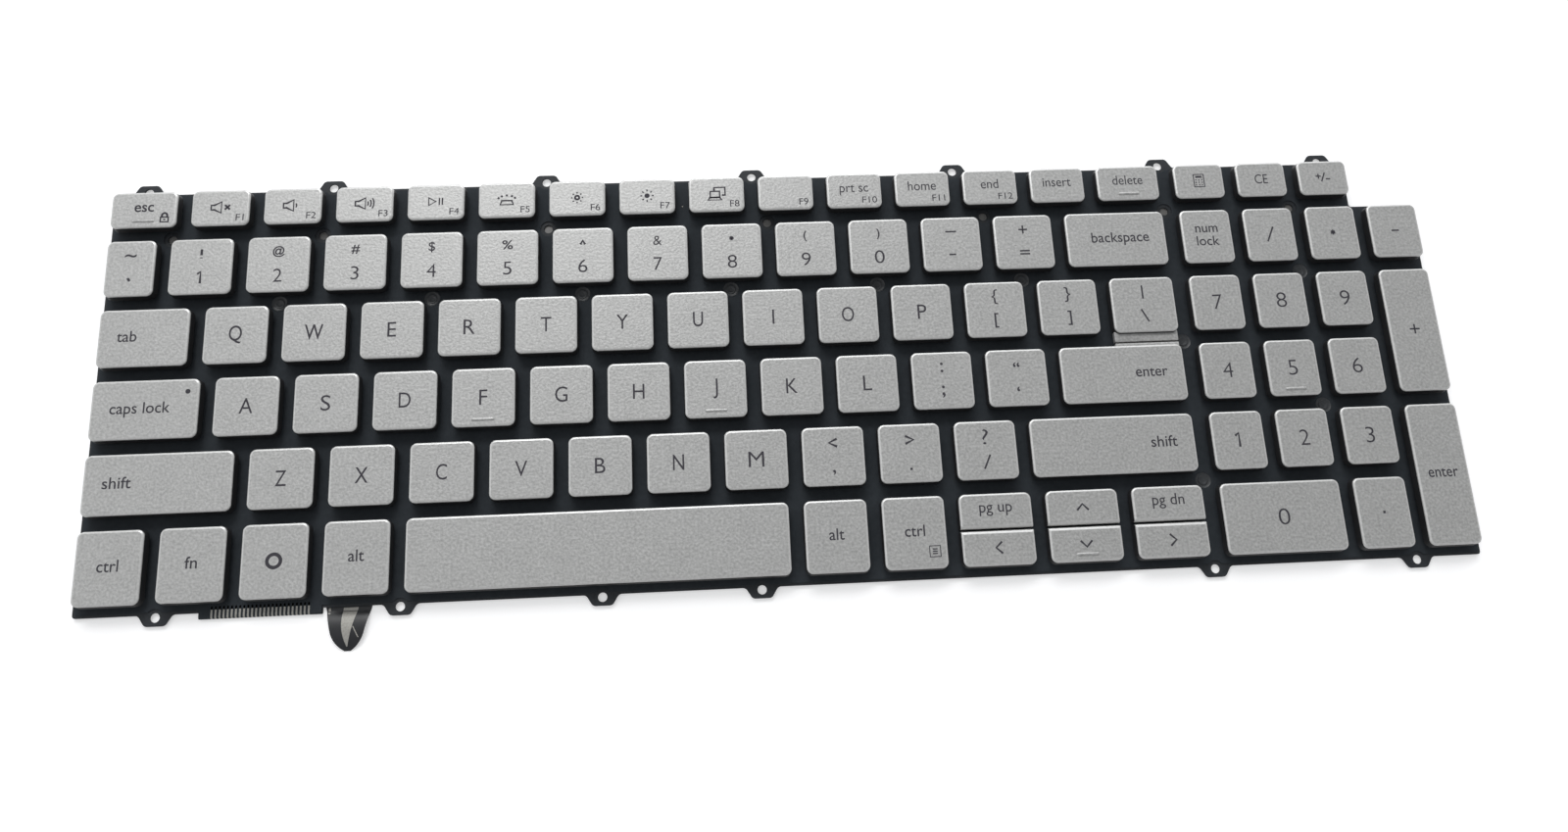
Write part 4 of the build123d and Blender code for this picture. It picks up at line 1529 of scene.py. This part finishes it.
shape = bmesh.new()
add_ribbon_band(shape, lambda y: -ribbon_half(y), ribbon_half, ribbon_root, ribbon_tip, 0.0, RIBBON_THICK)
ribbon_piece = new_piece("ribbon", shape, [ribbon_gloss], "frame")
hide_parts("backlight_ribbon")
print("ribbon: out", round((plate_front - ribbon_tip) / MM, 1), "mm")

# %% Ribbon traces
TRACE_LOW = RIBBON_THICK + 0.002 * MM
TRACE_HIGH = TRACE_LOW + 0.01 * MM
BROAD_LEFT = (-1.2, -1.5, 2.6)
BROAD_RIGHT = (2.2, -2.3, 0.2)
SIDE_LEFT = -4.7 * MM
SIDE_RIGHT = -4.2 * MM
SLANT = 0.5
SLANT_LEFT = -0.6 * MM
SLANT_RIGHT = -0.35 * MM
BAND_STEPS = 24
BAND_COLUMNS = 2
broad_start = plate_front - 0.2 * MM
broad_end = ribbon_tip + 1.0 * MM


def broad_edge(terms, y):
    """An edge of the broad trace, which swells towards its left and then comes to a point."""
    share = (broad_start - y) / (broad_start - broad_end)
    return (terms[0] + terms[1] * share + terms[2] * share * share) * MM


def slant_edge(offset, y):
    return (ribbon_leave - y) * SLANT + offset


shape = bmesh.new()
bands = (
    (lambda y: broad_edge(BROAD_LEFT, y), lambda y: broad_edge(BROAD_RIGHT, y), broad_start, broad_end),
    (lambda y: SIDE_LEFT, lambda y: SIDE_RIGHT, broad_start, ribbon_leave - 0.6 * MM),
    (lambda y: slant_edge(SLANT_LEFT, y), lambda y: slant_edge(SLANT_RIGHT, y),
     ribbon_leave - 3.6 * MM, ribbon_tip + 3.0 * MM),
)
for left_of, right_of, start, end in bands:
    add_ribbon_band(shape, left_of, right_of, start, end, TRACE_LOW, TRACE_HIGH, BAND_STEPS, BAND_COLUMNS)
new_piece("ribbon_traces", shape, [trace_ink], "frame")
print("ribbon traces:", len(bands))

# %% [markdown]
# ## Pieces that stay as packed
# The light guide under the plate and the four wires are right as packed, so they only get their finishes.
# The light guide's finish is dark grey, as painted shade where it shows through the plate's holes.

# %% Finish the imported pieces
packed_finishes = {"light_guide": guide_film_painted_shade}
for name in WIRED:
    packed_finishes[f"wire_{name}"] = wire_steel
for node, finish in packed_finishes.items():
    mesh = frame["nodes"][node].data
    mesh.materials.clear()
    mesh.materials.append(finish)
print("packed pieces:", list(packed_finishes))

# %% [markdown]
# ## Floor and light
# The keyboard lies on a plain white floor. A soft lamp at the back left gives the bright back and left rims
# and the shadows that fall to the front right between the keys. The world fills the rest. The floor is
# brighter to the camera and in reflections than it is as a light, so that it comes out white and still
# keeps their shadow.

# %% Floor
FLOOR_HALF = 3.0
FLOOR_GLOW = 0.4
FLOOR_COLOUR = (0.8, 0.8, 0.8, 1)
FLOOR_ROUGH = 0.9
shape = bmesh.new()
bmesh.ops.create_grid(shape, x_segments=1, y_segments=1, size=FLOOR_HALF)
floor_material = bpy.data.materials.new("white floor")
floor_material.use_nodes = True
floor_tree = floor_material.node_tree
floor_shader = floor_tree.nodes["Principled BSDF"]
floor_shader.inputs["Base Color"].default_value = FLOOR_COLOUR
floor_shader.inputs["Roughness"].default_value = FLOOR_ROUGH
path = floor_tree.nodes.new("ShaderNodeLightPath")
seen = math_node(floor_tree, "MAXIMUM", path.outputs["Is Camera Ray"], path.outputs["Is Glossy Ray"])
glow = math_node(floor_tree, "MULTIPLY", seen, FLOOR_GLOW)
floor_tree.links.new(glow, floor_shader.inputs["Emission Strength"])
floor_shader.inputs["Emission Color"].default_value = (1, 1, 1, 1)
floor = bpy.data.objects.new("floor", to_mesh("floor", shape, floor_material))
bpy.context.scene.collection.objects.link(floor)
print("floor:", 2 * FLOOR_HALF, "m square")

# %% Lamp
LAMP_PLACE = Vector((-0.2, 0.62, 0.72))
LAMP_WIDTH = 0.55
LAMP_DEPTH = 0.28
LAMP_POWER = 2.75
lamp = bpy.data.objects.new("lamp", bpy.data.lights.new("lamp", "AREA"))
lamp.data.shape = "ELLIPSE"
lamp.data.size = LAMP_WIDTH
lamp.data.size_y = LAMP_DEPTH
lamp.data.energy = LAMP_POWER
lamp.location = LAMP_PLACE
lamp.rotation_euler = (-LAMP_PLACE).to_track_quat("-Z", "Y").to_euler()
bpy.context.scene.collection.objects.link(lamp)
print("lamp:", LAMP_POWER, "W,", LAMP_WIDTH, "by", LAMP_DEPTH, "m")

# %% [markdown]
# ### World
# The world is a room's soft light: dim overhead, paler towards the horizon, with a faint pane high on the
# left and a bright one at the back. Seen from above, the flat tops hardly mirror the panes, but rims and
# slopes do, which draws each cap's outline.

# %% World
SKY_TOP = 0.3
SKY_ROUND = 0.4
SKY_COLOUR = (0.97, 0.98, 1.0, 1)
SKY_SHOWN = 1.0
PANES = ((Vector((-0.6, 0.26, 0.75)), 0.7, 7.0), (Vector((0.1, 0.87, 0.42)), 3.2, 12.0))
world = bpy.data.worlds.new("studio")
world.use_nodes = True
bpy.context.scene.world = world
sky = world.node_tree
background = sky.nodes["Background"]
background.inputs["Color"].default_value = SKY_COLOUR
way = sky.nodes.new("ShaderNodeTexCoord").outputs["Generated"]
split = sky.nodes.new("ShaderNodeSeparateXYZ")
sky.links.new(way, split.inputs[0])
lowness = math_node(sky, "SUBTRACT", 1.0, math_node(sky, "MAXIMUM", split.outputs["Z"], 0.0))
light = math_node(sky, "ADD", math_node(sky, "MULTIPLY", lowness, SKY_ROUND), SKY_TOP)
for middle, strength, edge in PANES:
    facing = sky.nodes.new("ShaderNodeVectorMath")
    facing.operation = "DOT_PRODUCT"
    sky.links.new(way, facing.inputs[0])
    facing.inputs[1].default_value = middle.normalized()
    toward = math_node(sky, "MAXIMUM", facing.outputs["Value"], 0.0)
    pane = math_node(sky, "MULTIPLY", math_node(sky, "POWER", toward, edge), strength)
    light = math_node(sky, "ADD", light, pane)
path = sky.nodes.new("ShaderNodeLightPath")
shown = sky.nodes.new("ShaderNodeMix")
sky.links.new(path.outputs["Is Camera Ray"], shown.inputs["Factor"])
sky.links.new(light, shown.inputs["A"])
shown.inputs["B"].default_value = SKY_SHOWN
sky.links.new(shown.outputs["Result"], background.inputs["Strength"])
bpy.context.scene.view_settings.view_transform = "Standard"
print("sky:", SKY_TOP, "above,", SKY_TOP + SKY_ROUND, "all round,", len(PANES), "panes")
